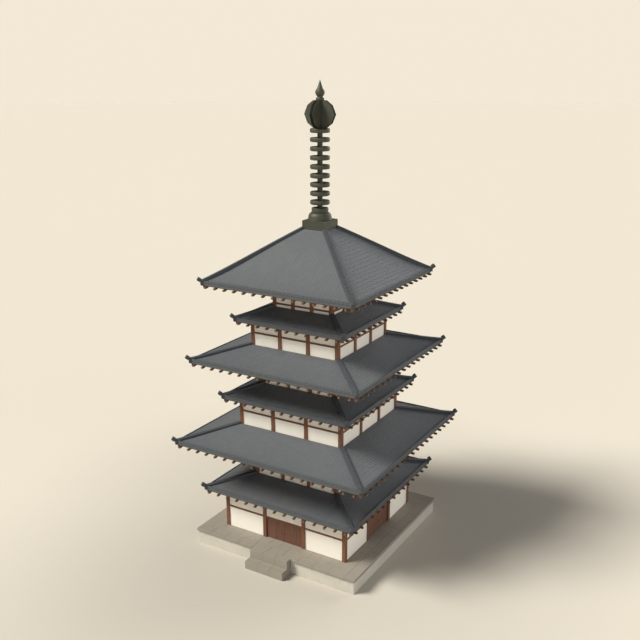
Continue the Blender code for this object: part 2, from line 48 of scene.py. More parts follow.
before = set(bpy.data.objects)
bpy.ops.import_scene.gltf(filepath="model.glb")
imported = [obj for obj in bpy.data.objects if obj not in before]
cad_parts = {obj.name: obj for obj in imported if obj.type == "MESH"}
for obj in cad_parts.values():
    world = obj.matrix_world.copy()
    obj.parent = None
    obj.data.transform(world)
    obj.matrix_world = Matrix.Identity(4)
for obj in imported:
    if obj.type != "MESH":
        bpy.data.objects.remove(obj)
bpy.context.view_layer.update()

GAP = 0.0003
SAME_PLACE = 0.00002
LEVELS = (1, 2, 3)
SIDE_TURNS = {"front": 0.0, "right": 90.0, "back": 180.0, "left": 270.0}
UP = Vector((0.0, 0.0, 1.0))

# What the frame's solids leave between one piece and the next
RAFTER_REACH = 0.20
ROOF_LAP = 0.04
EAVE_DEPTH = 0.27
PLASTER_SET_BACK = 0.08
PLATE_SET_BACK = 0.02
FINIAL_CLEARANCE = 0.02

# Timbers of one size throughout
SOFFIT_THICK = 0.030
POST_SIDE = 0.29
SILL_HEIGHT = 0.24

# Middle heights of the rails of the upper storeys and of the top storey's inner frame
STOREY_RAILS = {2: 10.56, 3: 16.52}
TOP_CORE_RAIL = 18.605

# How deep the slopes sag, the power that puts the deepest place near the eave, and what scales it to the sag
SAG = 0.05
TOP_SAG = 0.16
SAG_POWER = 2.846
SAG_SCALE = 9.06
TOP_SOFFIT_SLOPE = 0.30


def linear(red, green, blue):
    """A display colour, 0 to 255, as scene-linear values."""

    def channel(value):
        value /= 255.0
        return value / 12.92 if value <= 0.04045 else ((value + 0.055) / 1.055) ** 2.4

    return channel(red), channel(green), channel(blue)


def colour(name, description, display):
    default = linear(*display)
    return bpy.props.FloatVectorProperty(
        name=name, description=description, subtype="COLOR", size=3, min=0.0, max=1.0, default=default
    )


def place(name, description, default):
    return bpy.props.FloatVectorProperty(
        name=name, description=description, subtype="TRANSLATION", default=default
    )


def length(name, description, default):
    return bpy.props.FloatProperty(
        name=name, description=description, default=default, min=0.0, unit="LENGTH"
    )


def strength(name, description, default):
    return bpy.props.FloatProperty(name=name, description=description, default=default, min=0.0)


class PagodaTileSizes(bpy.types.PropertyGroup):
    row_pitch: length("Row pitch", "Width of roof that one tile covers, along the eave", 0.30)
    course: length("Course", "Length of roof that one tile covers, down the slope", 0.31)
    step: length("Step", "Height of a tile's lower edge over the next tile", 0.009)
    roll: length("Roll", "Height of the low roll along one side of a tile", 0.007)
    pan: length("Pan", "Depth of the hollow in the rest of a tile", 0.002)
    joint: length("Joint", "Open joint between two tiles", 0.002)
    eave_tile: length("Eave tile", "Depth of the dark tiles along the eave, up the slope", 0.15)
    ridge_tile: length("Ridge tile", "Length of the flat tiles stacked along a hip", 0.36)


class PagodaTimberSizes(bpy.types.PropertyGroup):
    post: length("Post", "Side of a square post", POST_SIDE)
    rail_height: length("Rail height", "Height of the rails between the posts", 0.13)
    plate_height: length("Plate height", "Height of the beam on top of a ring of posts", 0.24)
    rafter_width: length("Rafter width", "Width of a rafter", 0.155)
    rafter_depth: length("Rafter depth", "Depth of a rafter", 0.14)
    hip_beam_width: length("Hip beam width", "Width of the beam under a hip", 0.22)
    hip_beam_depth: length("Hip beam depth", "Depth of the beam under a hip", 0.20)
    rafter_pitch: length("Rafter pitch", "Distance between two rafters", 0.82)
    rafter_inset: length("Rafter inset", "Distance of the outermost rafter from the eave's corner", 0.45)
    arris: length("Arris", "Width of the planed-off edge of a timber", 0.014)
    soffit_board: length("Soffit board", "Width of a board over the rafters", 0.24)


class PagodaStoneSizes(bpy.types.PropertyGroup):
    block: length("Block", "Length of a facing block", 1.22)
    courses: bpy.props.IntProperty(name="Courses", description="Courses of facing blocks", default=2, min=1)
    edge_slab: length("Edge slab", "Depth of the slabs along the platform's edge", 0.80)
    floor_slab: length("Floor slab", "Side of a square floor slab", 0.86)
    joint: length("Joint", "Width of an open joint", 0.005)
    arris: length("Arris", "Width of a stone's worn edge", 0.008)


class PagodaColours(bpy.types.PropertyGroup):
    tile: colour("Tile", "Smoked clay tile", (98, 100, 102))
    ridge: colour("Ridge tile", "Darker tiles of the hip ridges and along the eaves", (77, 79, 82))
    fascia: colour("Fascia", "Boards along the front of the eaves", (86, 89, 90))
    plaster: colour("Plaster", "Lime plaster", (246, 237, 222))
    timber: colour("Timber", "Stained posts and rails", (120, 80, 58))
    rafter: colour("Rafter", "Weathered rafters and hip beams", (88, 68, 50))
    end_grain: colour("Rafter ends", "Painted ends of the rafters", (126, 88, 66))
    door: colour("Door", "Stained door boards", (110, 76, 60))
    stone: colour("Stone", "Facing stone", (196, 190, 177))
    floor_stone: colour("Floor stone", "Coping, floor and steps", (147, 139, 126))
    bronze: colour("Bronze", "Aged bronze of the finial", (71, 69, 55))
    iron: colour("Iron", "Blackened iron of the door fittings", (52, 46, 42))
    floor: colour("Floor", "Studio floor", (219.0, 209.5, 194.0))


class PagodaStage(bpy.types.PropertyGroup):
    camera_place: place("Camera", "Where the camera stands", (30.957, -51.717, 34.893))
    camera_target: place("Target", "What the camera looks at", (0.0, 0.0, 17.055))
    lens: bpy.props.FloatProperty(name="Lens", description="Focal length in mm", default=47.95, min=1.0)
    key: strength("Key", "Strength of the key light", 4.30)
    rim: strength("Rim", "Strength of the low light behind", 2.75)
    side: strength("Side", "Strength of the low light on the right", 1.05)
    fill: strength("Fill", "Strength of the low light in front", 0.60)
    ambient: strength("Ambient", "Light from all around", 0.012)
    backdrop: colour("Backdrop", "What the camera sees beyond the floor", (242.4, 232.4, 213.4))


class PagodaSettings(bpy.types.PropertyGroup):
    tiles: bpy.props.PointerProperty(type=PagodaTileSizes)
    timbers: bpy.props.PointerProperty(type=PagodaTimberSizes)
    stones: bpy.props.PointerProperty(type=PagodaStoneSizes)
    colours: bpy.props.PointerProperty(type=PagodaColours)
    stage: bpy.props.PointerProperty(type=PagodaStage)


def settings():
    return bpy.context.scene.pagoda


# Shapes

GRAIN = "grain"
TONE = "tone"
EDGE = "edge"


def blank():
    """An empty shape with a grain map, a tone for each piece and a mark for its edges."""
    shape = bmesh.new()
    shape.loops.layers.uv.new(GRAIN)
    shape.faces.layers.float.new(TONE)
    shape.faces.layers.float.new(EDGE)
    return shape


def as_mesh(shape, name="template"):
    """A shape as a mesh; the shape is freed."""
    mesh = bpy.data.meshes.new(name)
    shape.to_mesh(mesh)
    shape.free()
    return mesh


def stamp(shape, mesh, place=None, tone=None):
    """A copy of a mesh, moved to its place and given its own tone, added to a shape."""
    copy = mesh.copy()
    if place is not None:
        copy.transform(place)
    if tone is not None:
        copy.attributes[TONE].data.foreach_set("value", [tone] * len(copy.polygons))
    shape.from_mesh(copy)
    bpy.data.meshes.remove(copy)


def turn(degrees, axis="Z"):
    return Matrix.Rotation(math.radians(degrees), 4, axis)


def on_four_sides(shape, side, tone=None):
    """What was drawn for the front, added on all four sides; its own shape is freed."""
    mesh = as_mesh(side)
    for angle in SIDE_TURNS.values():
        stamp(shape, mesh, turn(angle), tone)


def only(kind, items):
    return [item for item in items if isinstance(item, kind)]


def everything(shape):
    return shape.verts[:] + shape.edges[:] + shape.faces[:]


def map_grain(shape, along):
    """Maps each face in metres, with the grain running along one axis."""
    layer = shape.loops.layers.uv[GRAIN]
    across = [axis for axis in range(3) if axis != along]
    for face in shape.faces:
        normal = [abs(value) for value in face.normal]
        if normal[along] > max(normal[axis] for axis in across):
            pair = across
        else:
            pair = [along, across[0] if normal[across[1]] > normal[across[0]] else across[1]]
        for loop in face.loops:
            loop[layer].uv = (loop.vert.co[pair[0]], loop.vert.co[pair[1]])


def map_ring(shape):
    """Maps a square ring in metres, with the grain along each side."""
    layer = shape.loops.layers.uv[GRAIN]
    for face in shape.faces:
        middle = face.calc_center_median()
        along, out = (1, 0) if abs(middle.x) > abs(middle.y) else (0, 1)
        for loop in face.loops:
            corner = loop.vert.co
            loop[layer].uv = (corner[along], abs(corner[out]) + corner.z)


def ease_edges(shape, width, edges=None):
    """Planes off the edges of a shape and marks the new faces."""
    marked = shape.faces.layers.float[EDGE]
    made = bmesh.ops.bevel(
        shape,
        geom=list(edges if edges is not None else shape.edges),
        offset=width,
        offset_type="OFFSET",
        affect="EDGES",
        segments=1,
        profile=0.5,
        material=-1,
        clamp_overlap=True,
    )
    for face in made["faces"]:
        face[marked] = 1.0


def cuboid(low, high):
    """A box between two corners, with sharp edges."""
    shape = blank()
    bmesh.ops.create_cube(shape, size=1.0)
    bmesh.ops.scale(shape, vec=high - low, verts=shape.verts)
    bmesh.ops.translate(shape, vec=(low + high) / 2, verts=shape.verts)
    return shape


def block(low, high, along=0, arris=0.012, end_material=0):
    """A box between two corners with planed edges; its outer ends may take another material."""
    shape = cuboid(Vector(low), Vector(high))
    ease_edges(shape, arris)
    map_grain(shape, along)
    if end_material:
        for face in shape.faces:
            if abs(face.normal[along]) > 0.9:
                face.material_index = end_material
    return as_mesh(shape)


def sink_panels(shape, faces, border, slope, depth):
    """Sinks a panel into each face, inside a flat border and a narrow slope."""
    for thickness, push in ((border, 0.0), (slope, -depth)):
        bmesh.ops.inset_individual(shape, faces=faces, thickness=thickness, depth=push, use_even_offset=True)


def closed_loop(shape, places):
    corners = [shape.verts.new(corner) for corner in places]
    return [shape.edges.new(pair) for pair in zip(corners, corners[1:] + corners[:1])]


def close_seams(shape):
    bmesh.ops.remove_doubles(shape, verts=shape.verts, dist=SAME_PLACE)
    bmesh.ops.recalc_face_normals(shape, faces=shape.faces)


def spun(shape, steps):
    """The line that a shape holds, spun once around Z."""
    bmesh.ops.spin(
        shape,
        geom=shape.verts[:] + shape.edges[:],
        cent=(0, 0, 0),
        axis=(0, 0, 1),
        dvec=(0, 0, 0),
        angle=math.tau,
        steps=steps,
        use_merge=True,
        use_duplicate=False,
    )
    close_seams(shape)
    return shape


def square_ring(outline):
    """A closed outline of (half-width, height) points swept around the four sides and mitred."""
    shape = blank()
    closed_loop(shape, [(-half, -half, height) for half, height in outline])
    spun(shape, len(SIDE_TURNS))
    map_ring(shape)
    return shape


def turned(profile, steps=48):
    """A profile of (radius, height) points, from the axis back to the axis, turned about Z."""
    shape = blank()
    corners = [shape.verts.new((radius, 0.0, height)) for radius, height in profile]
    for pair in zip(corners, corners[1:]):
        shape.edges.new(pair)
    return spun(shape, steps)


def prism(places, reach):
    """A flat outline extruded by its reach; gives the shape and the corners of its far end."""
    shape = blank()
    near = bmesh.ops.contextual_create(shape, geom=closed_loop(shape, places))["faces"]
    made = bmesh.ops.extrude_face_region(shape, geom=near)["geom"]
    far = only(bmesh.types.BMVert, made)
    bmesh.ops.translate(shape, vec=reach, verts=far)
    bmesh.ops.recalc_face_normals(shape, faces=shape.faces)
    return shape, far


def sweep(shape, outline, path, across):
    """An outline of (across, up) points carried along a path, with both ends closed."""
    edges = closed_loop(shape, [path[0] + across * x + UP * z for x, z in outline])
    bmesh.ops.contextual_create(shape, geom=edges)
    for start, end in zip(path, path[1:]):
        made = bmesh.ops.extrude_edge_only(shape, edges=edges)["geom"]
        moved = only(bmesh.types.BMVert, made)
        bmesh.ops.translate(shape, vec=end - start, verts=moved)
        fresh = set(moved)
        edges = [edge for edge in only(bmesh.types.BMEdge, made) if fresh.issuperset(edge.verts)]
    bmesh.ops.contextual_create(shape, geom=edges)


def arc(centre, radius, start, end, steps, rise=None):
    """Points on an arc of the XZ plane, between two angles in degrees; a rise makes it an ellipse."""
    rise = radius if rise is None else rise
    points = []
    for step in range(steps + 1):
        angle = math.radians(start + (end - start) * step / steps)
        points.append((centre[0] + radius * math.cos(angle), centre[1] + rise * math.sin(angle)))
    return points


def link(name, data):
    item = bpy.data.objects.new(name, data)
    bpy.context.scene.collection.objects.link(item)
    return item


def piece(name, shape, finishes, replaces=(), body="building", smooth_below=None):
    """A finished piece of the pagoda, made from a shape, which is freed."""
    mesh = as_mesh(shape, name)
    for material in finishes:
        mesh.materials.append(finish(material))
    if smooth_below is not None:
        mesh.shade_smooth()
        mesh.set_sharp_from_angle(angle=math.radians(smooth_below))
    item = link(name, mesh)
    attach(item, body)
    if replaces:
        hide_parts(*replaces)


def joints_along(start, end, size, shifted):
    """Splits a stretch into about equal parts; a shifted course has half parts at its ends."""
    count = max(1, round((end - start) / size))
    size = (end - start) / count
    places = [start + size * step for step in range(count + 1)]
    if shifted:
        places = [start] + [start + size * (step + 0.5) for step in range(count)] + [end]
    return list(zip(places, places[1:]))


def laid_along(foot, head):
    """Lays a shape one unit long, drawn along +Y from the origin, from one place to another."""
    along = (head - foot).normalized()
    across = along.cross(UP).normalized()
    laid = Matrix((across, along * (head - foot).length, across.cross(along))).transposed().to_4x4()
    laid.translation = foot
    return laid


# Materials


class Tree:
    """Adds nodes to a node tree; an input is a value or the socket that feeds it."""

    def __init__(self, tree):
        self.tree = tree

    def add(self, kind, inputs=None, **options):
        node = self.tree.nodes.new(kind)
        for key, value in options.items():
            setattr(node, key, value)
        for key, value in (inputs or {}).items():
            if isinstance(value, bpy.types.NodeSocket):
                self.tree.links.new(value, node.inputs[key])
            else:
                node.inputs[key].default_value = value
        return node

    def noise(self, vector, scale, detail, roughness, stretch=None):
        """Soft noise, which a stretch scales along each axis."""
        if stretch:
            mapping = self.add("ShaderNodeMapping", {"Vector": vector, "Scale": stretch})
            vector = mapping.outputs["Vector"]
        inputs = {"Vector": vector, "Scale": scale, "Detail": detail, "Roughness": roughness}
        return self.add("ShaderNodeTexNoise", inputs).outputs["Fac"]

    def ranged(self, value, low, high, to_low=0.0, to_high=1.0):
        inputs = {"Value": value, "From Min": low, "From Max": high, "To Min": to_low, "To Max": to_high}
        return self.add("ShaderNodeMapRange", inputs, interpolation_type="SMOOTHSTEP").outputs["Result"]

    def math(self, operation, first, second):
        return self.add("ShaderNodeMath", {0: first, 1: second}, operation=operation).outputs["Value"]

    def shared(self, first, second, share):
        """Two values added, the first by its share and the second by the rest."""
        first = self.math("MULTIPLY", first, share)
        return self.math("ADD", first, self.math("MULTIPLY", second, 1.0 - share))

    def mixed(self, factor, first, second, blend="MIX"):
        """Two colours mixed; a colour is a socket or three numbers."""
        inputs = {0: factor}
        for key, value in ((6, first), (7, second)):
            inputs[key] = value if isinstance(value, bpy.types.NodeSocket) else (*value, 1.0)
        return self.add("ShaderNodeMix", inputs, data_type="RGBA", blend_type=blend).outputs[2]

    def attribute(self, name):
        return self.add("ShaderNodeAttribute", attribute_name=name).outputs["Fac"]

    def places(self):
        return self.add("ShaderNodeTexCoord").outputs["Object"]

    def grain_map(self):
        return self.add("ShaderNodeUVMap", uv_map=GRAIN).outputs["UV"]


class Group(Tree):
    """A node group that takes a vector and some numbers, each with a default, and puts out numbers."""

    def __init__(self, name, numbers):
        super().__init__(bpy.data.node_groups.new(name, "ShaderNodeTree"))
        self.socket("Vector", "INPUT", "NodeSocketVector")
        for key, default in numbers.items():
            self.socket(key, "INPUT", "NodeSocketFloat").default_value = default
        self.given = self.add("NodeGroupInput").outputs

    def socket(self, name, side, kind):
        return self.tree.interface.new_socket(name, in_out=side, socket_type=kind)

    def put_out(self, results):
        for key in results:
            self.socket(key, "OUTPUT", "NodeSocketFloat")
        self.add("NodeGroupOutput", results)
        return self.tree


@functools.cache
def weathering_group():
    """Large soft patches, fine specks and a tone for each piece, as one brightness and one height."""
    numbers = {"Tone": 0.5, "Patch Scale": 0.6, "Speck Scale": 30.0}
    numbers.update({"Patches": 0.15, "Specks": 0.08, "Tones": 0.10})
    group = Group("Weathering", numbers)
    given = group.given
    patch = group.noise(given["Vector"], given["Patch Scale"], detail=5.0, roughness=0.6)
    speck = group.noise(given["Vector"], given["Speck Scale"], detail=4.0, roughness=0.7)
    total = 0.0
    for value, amount in ((patch, "Patches"), (speck, "Specks"), (given["Tone"], "Tones")):
        change = group.math("MULTIPLY", group.math("SUBTRACT", value, 0.5), given[amount])
        total = group.math("ADD", total, change)
    return group.put_out({"Brightness": group.math("ADD", total, 1.0), "Height": speck, "Patch": patch})


@functools.cache
def wood_group():
    """Growth figure and pores that run along the grain map's first axis."""
    group = Group("Wood grain", {"Tone": 0.5})
    tone = group.given["Tone"]
    shift = group.add("ShaderNodeCombineXYZ", {0: group.math("MULTIPLY", tone, 37.0), 1: tone, 2: 0.0})
    inputs = {0: group.given["Vector"], 1: shift.outputs[0]}
    moved = group.add("ShaderNodeVectorMath", inputs, operation="ADD").outputs["Vector"]
    figure = group.noise(moved, 1.0, detail=4.0, roughness=0.6, stretch=(0.55, 14.0, 1.0))
    pores = group.noise(moved, 1.0, detail=2.0, roughness=0.6, stretch=(5.0, 170.0, 1.0))
    return group.put_out({"Figure": figure, "Pores": pores, "Height": group.shared(figure, pores, 0.6)})


class Surface(Tree):
    """A new material and its shader."""

    def __init__(self, name, roughness, metallic=0.0, specular=0.5):
        self.material = bpy.data.materials.new(name)
        self.material.use_nodes = True
        super().__init__(self.material.node_tree)
        self.shader = self.tree.nodes["Principled BSDF"]
        self.shader.inputs["Roughness"].default_value = roughness
        self.shader.inputs["Metallic"].default_value = metallic
        self.shader.inputs["Specular IOR Level"].default_value = specular

    def weathered(self, tone, patches, specks, tones=0.0):
        """The weathering group's outputs; patches and specks are each a scale and a strength."""
        inputs = {"Vector": self.places(), "Tone": tone, "Tones": tones}
        inputs.update(zip(("Patch Scale", "Patches", "Speck Scale", "Specks"), patches + specks))
        return self.add("ShaderNodeGroup", inputs, node_tree=weathering_group()).outputs

    def patched(self, mask, low, high, first, second, most=1.0):
        """A second colour, at most by a share, where a mask rises from low to high."""
        return self.mixed(self.ranged(mask, low, high, 0.0, most), first, second)

    def brightened(self, base, wear):
        """A colour multiplied by the brightness of the weathering."""
        inputs = {channel: wear["Brightness"] for channel in range(3)}
        grey = self.add("ShaderNodeCombineColor", inputs).outputs["Color"]
        return self.mixed(1.0, base, grey, blend="MULTIPLY")

    def rubbed(self, base, edge_colour, share):
        """Another colour, by a share, on the marked edges."""
        return self.mixed(self.math("MULTIPLY", self.attribute(EDGE), share), base, edge_colour)

    def feed(self, base, height, strength, distance, rough=None):
        """Feeds the shader its colour, a bump and a roughness, and gives the material."""
        bump = self.add("ShaderNodeBump", {"Height": height, "Strength": strength, "Distance": distance})
        sockets = {"Base Color": base, "Normal": bump.outputs["Normal"], "Roughness": rough}
        for key, socket in sockets.items():
            if socket is not None:
                self.tree.links.new(socket, self.shader.inputs[key])
        return self.material


def tint(base, *shares):
    return Vector([value * share for value, share in zip(base, shares)])


def clay_surface(name, base, tones, specular):
    """Smoked clay: a tone for each tile, faint lichen in patches and paler worn edges."""
    surface = Surface(name, 0.58, specular=specular)
    wear = surface.weathered(surface.attribute(TONE), patches=(0.3, 0.07), specks=(24.0, 0.05), tones=tones)
    mix = surface.patched(wear["Patch"], 0.40, 0.75, base, tint(base, 1.04, 1.03, 0.98))
    mix = surface.rubbed(surface.brightened(mix, wear), base * 1.3, 0.20)
    rough = surface.ranged(wear["Height"], 0.2, 0.8, 0.50, 0.64)
    return surface.feed(mix, wear["Height"], 0.20, 0.003, rough)


def wood_surface(name, base, roughness, pores):
    """Stained wood: a tone for each timber, a figure along the grain, dark pores and rubbed edges."""
    surface = Surface(name, roughness, specular=0.3)
    tone = surface.attribute(TONE)
    inputs = {"Vector": surface.grain_map(), "Tone": tone}
    grain = surface.add("ShaderNodeGroup", inputs, node_tree=wood_group()).outputs
    wear = surface.weathered(tone, patches=(0.9, 0.12), specks=(40.0, 0.05), tones=0.14)
    mix = surface.patched(grain["Figure"], 0.34, 0.66, base * 0.84, base * 1.12)
    mix = surface.patched(grain["Pores"], 0.55, 0.75, mix, base * 0.55, most=pores)
    mix = surface.rubbed(surface.brightened(mix, wear), base * 1.35, 0.25)
    rough = surface.ranged(grain["Pores"], 0.3, 0.7, roughness - 0.08, roughness + 0.12)
    return surface.feed(mix, grain["Height"], 0.45, 0.004, rough)


def end_surface(name, base):
    """Ochre paint on sawn ends, with faint rings of end grain."""
    surface = Surface(name, 0.70, specular=0.3)
    inputs = {"Vector": surface.grain_map(), "Scale": 14.0, "Distortion": 3.0, "Detail": 2.0}
    rings = surface.add("ShaderNodeTexWave", inputs, wave_type="RINGS", rings_direction="SPHERICAL")
    rings = rings.outputs["Fac"]
    wear = surface.weathered(surface.attribute(TONE), patches=(1.5, 0.15), specks=(60.0, 0.10), tones=0.20)
    mix = surface.mixed(surface.math("MULTIPLY", rings, 0.25), base, base * 0.72)
    return surface.feed(surface.brightened(mix, wear), rings, 0.15, 0.003)


def plaster_surface(name, base):
    """Lime plaster: trowelled unevenness and soft patches."""
    surface = Surface(name, 0.88, specular=0.2)
    wear = surface.weathered(0.5, patches=(0.8, 0.04), specks=(55.0, 0.02))
    marks = surface.noise(surface.places(), 3.2, detail=4.0, roughness=0.5, stretch=(1.0, 1.0, 2.6))
    mix = surface.patched(wear["Patch"], 0.45, 0.80, base, tint(base, 0.97, 0.96, 0.93))
    height = surface.shared(marks, wear["Height"], 0.7)
    rough = surface.ranged(marks, 0.3, 0.7, 0.80, 0.95)
    return surface.feed(surface.brightened(mix, wear), height, 0.15, 0.006, rough)


def stone_surface(name, base):
    """Dressed stone: a tone for each block, cloudy patches, dark grains and worn edges."""
    surface = Surface(name, 0.86, specular=0.3)
    wear = surface.weathered(surface.attribute(TONE), patches=(0.9, 0.08), specks=(38.0, 0.12), tones=0.05)
    grains = surface.noise(surface.places(), 120.0, detail=2.0, roughness=0.8)
    mix = surface.patched(wear["Patch"], 0.4, 0.7, base, tint(base, 1.02, 0.99, 0.95))
    mix = surface.patched(grains, 0.62, 0.72, surface.brightened(mix, wear), base * 0.6, most=0.35)
    mix = surface.rubbed(mix, base * 1.12, 0.20)
    rough = surface.ranged(wear["Height"], 0.3, 0.7, 0.78, 0.94)
    return surface.feed(mix, surface.shared(wear["Height"], wear["Patch"], 0.7), 0.35, 0.004, rough)


def bronze_surface(name, base, roughness, metallic, specular):
    """Aged bronze: dark olive patina, green bloom in patches, darker runs and paler edges."""
    surface = Surface(name, roughness, metallic, specular)
    wear = surface.weathered(0.5, patches=(1.4, 0.18), specks=(26.0, 0.14))
    runs = surface.noise(surface.places(), 1.0, detail=4.0, roughness=0.6, stretch=(7.0, 7.0, 0.5))
    mix = surface.patched(wear["Patch"], 0.45, 0.70, base, tint(base, 0.88, 1.05, 0.98), most=0.6)
    mix = surface.patched(runs, 0.52, 0.70, mix, base * 0.65, most=0.25)
    mix = surface.rubbed(surface.brightened(mix, wear), base * 1.5, 0.25)
    rough = surface.ranged(wear["Patch"], 0.35, 0.7, roughness - 0.10, roughness + 0.08)
    return surface.feed(mix, wear["Height"], 0.20, 0.003, rough)


def iron_surface(name, base):
    """Blackened iron."""
    surface = Surface(name, 0.5, metallic=0.7)
    wear = surface.weathered(0.5, patches=(4.0, 0.4), specks=(90.0, 0.3))
    rough = surface.ranged(wear["Height"], 0.3, 0.7, 0.4, 0.6)
    return surface.feed(surface.brightened(base, wear), wear["Height"], 0.3, 0.002, rough)


# Each finish's shader, its colour, how much of that colour's brightness it has, and the shader's own values
FINISHES = {
    "smoked_tile": (clay_surface, "tile", 1.0, {"tones": 0.06, "specular": 0.22}),
    "dark_tile": (clay_surface, "ridge", 1.0, {"tones": 0.06, "specular": 0.15}),
    "eave_board": (clay_surface, "fascia", 1.0, {"tones": 0.05, "specular": 0.2}),
    "stained_timber": (wood_surface, "timber", 1.0, {"roughness": 0.66, "pores": 0.40}),
    "weathered_rafters": (wood_surface, "rafter", 1.0, {"roughness": 0.72, "pores": 0.35}),
    # Soffit boards: the timber at 45% of its brightness, painted shade under the eaves
    "smoked_boards": (wood_surface, "timber", 0.45, {"roughness": 0.75, "pores": 0.30}),
    "door_boards": (wood_surface, "door", 1.0, {"roughness": 0.62, "pores": 0.35}),
    "painted_ends": (end_surface, "end_grain", 1.0, {}),
    "lime_plaster": (plaster_surface, "plaster", 1.0, {}),
    "facing_stone": (stone_surface, "stone", 1.0, {}),
    "floor_stone": (stone_surface, "floor_stone", 1.0, {}),
    "aged_bronze": (bronze_surface, "bronze", 1.0, {"roughness": 0.60, "metallic": 0.2, "specular": 0.5}),
    # Nearly black bronze on the rims of the finial's blades: painted shade
    "blackened_bronze": (
        bronze_surface, "bronze", 0.16, {"roughness": 0.85, "metallic": 0.0, "specular": 0.1}
    ),
    "black_iron": (iron_surface, "iron", 1.0, {}),
}


@functools.cache
def finish(name):
    """The material of a finish, made when it is first asked for."""
    make, base, share, values = FINISHES[name]
    return make(name, Vector(getattr(settings().colours, base)) * share, **values)


# The frame's roofs


class RoofForm:
    """One roof's slopes, read from the frame: heights at a half-width from the axis."""

    def __init__(self, kind, level):
        self.name = f"{kind}_roof_{level}"
        self.rafters = f"{kind}_rafters_{level}"
        self.is_top = self.name == "main_roof_3"
        self.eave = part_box(self.rafters)[1].x - RAFTER_REACH
        self.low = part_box(self.name)[0].z
        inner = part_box(f"core_frame_{level}")[1].x
        self.carrier = inner
        self.rafter_heel = inner - POST_SIDE
        if kind == "pent":
            self.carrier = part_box("front_frame" if level == 1 else f"storey_{level}_frame")[1].x
            self.rafter_heel = self.foot = inner
            self.foot_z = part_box(f"upper_wall_{level}")[0].z + ROOF_LAP
        elif self.is_top:
            low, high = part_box("finial_base")
            self.foot = high.x + FINIAL_CLEARANCE
            self.foot_z = low.z
        else:
            self.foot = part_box(f"storey_{level + 1}_frame")[1].x
            self.foot_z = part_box(f"storey_{level + 1}_wall")[0].z + ROOF_LAP
        self.sag = TOP_SAG if self.is_top else SAG
        self.run = self.eave - self.foot
        self.slope = (self.foot_z - self.low - EAVE_DEPTH) / self.run
        self.soffit_slope = TOP_SOFFIT_SLOPE if self.is_top else self.slope

    def underside(self, half):
        return self.low + (self.eave - half) * self.soffit_slope

    def top(self, half):
        """The tiled surface, which flares out softly towards the eave."""
        part = min(max((self.eave - half) / self.run, 0.0), 1.0)
        return self.straight(half) - SAG_SCALE * self.sag * part * (1.0 - part) ** SAG_POWER

    def straight(self, half):
        """The height of a straight slope from the eave to the foot of the wall above."""
        return self.low + EAVE_DEPTH + (self.eave - half) * self.slope

    def courses(self):
        return max(3, round(self.run * math.hypot(1.0, self.slope) / settings().tiles.course))


def roof_forms():
    return [RoofForm(kind, level) for level in LEVELS for kind in ("pent", "main")]


def seeded_roofs(seed):
    """Each roof with random draws of its own."""
    for index, form in enumerate(roof_forms()):
        yield form, random.Random(seed + index)


# Operators


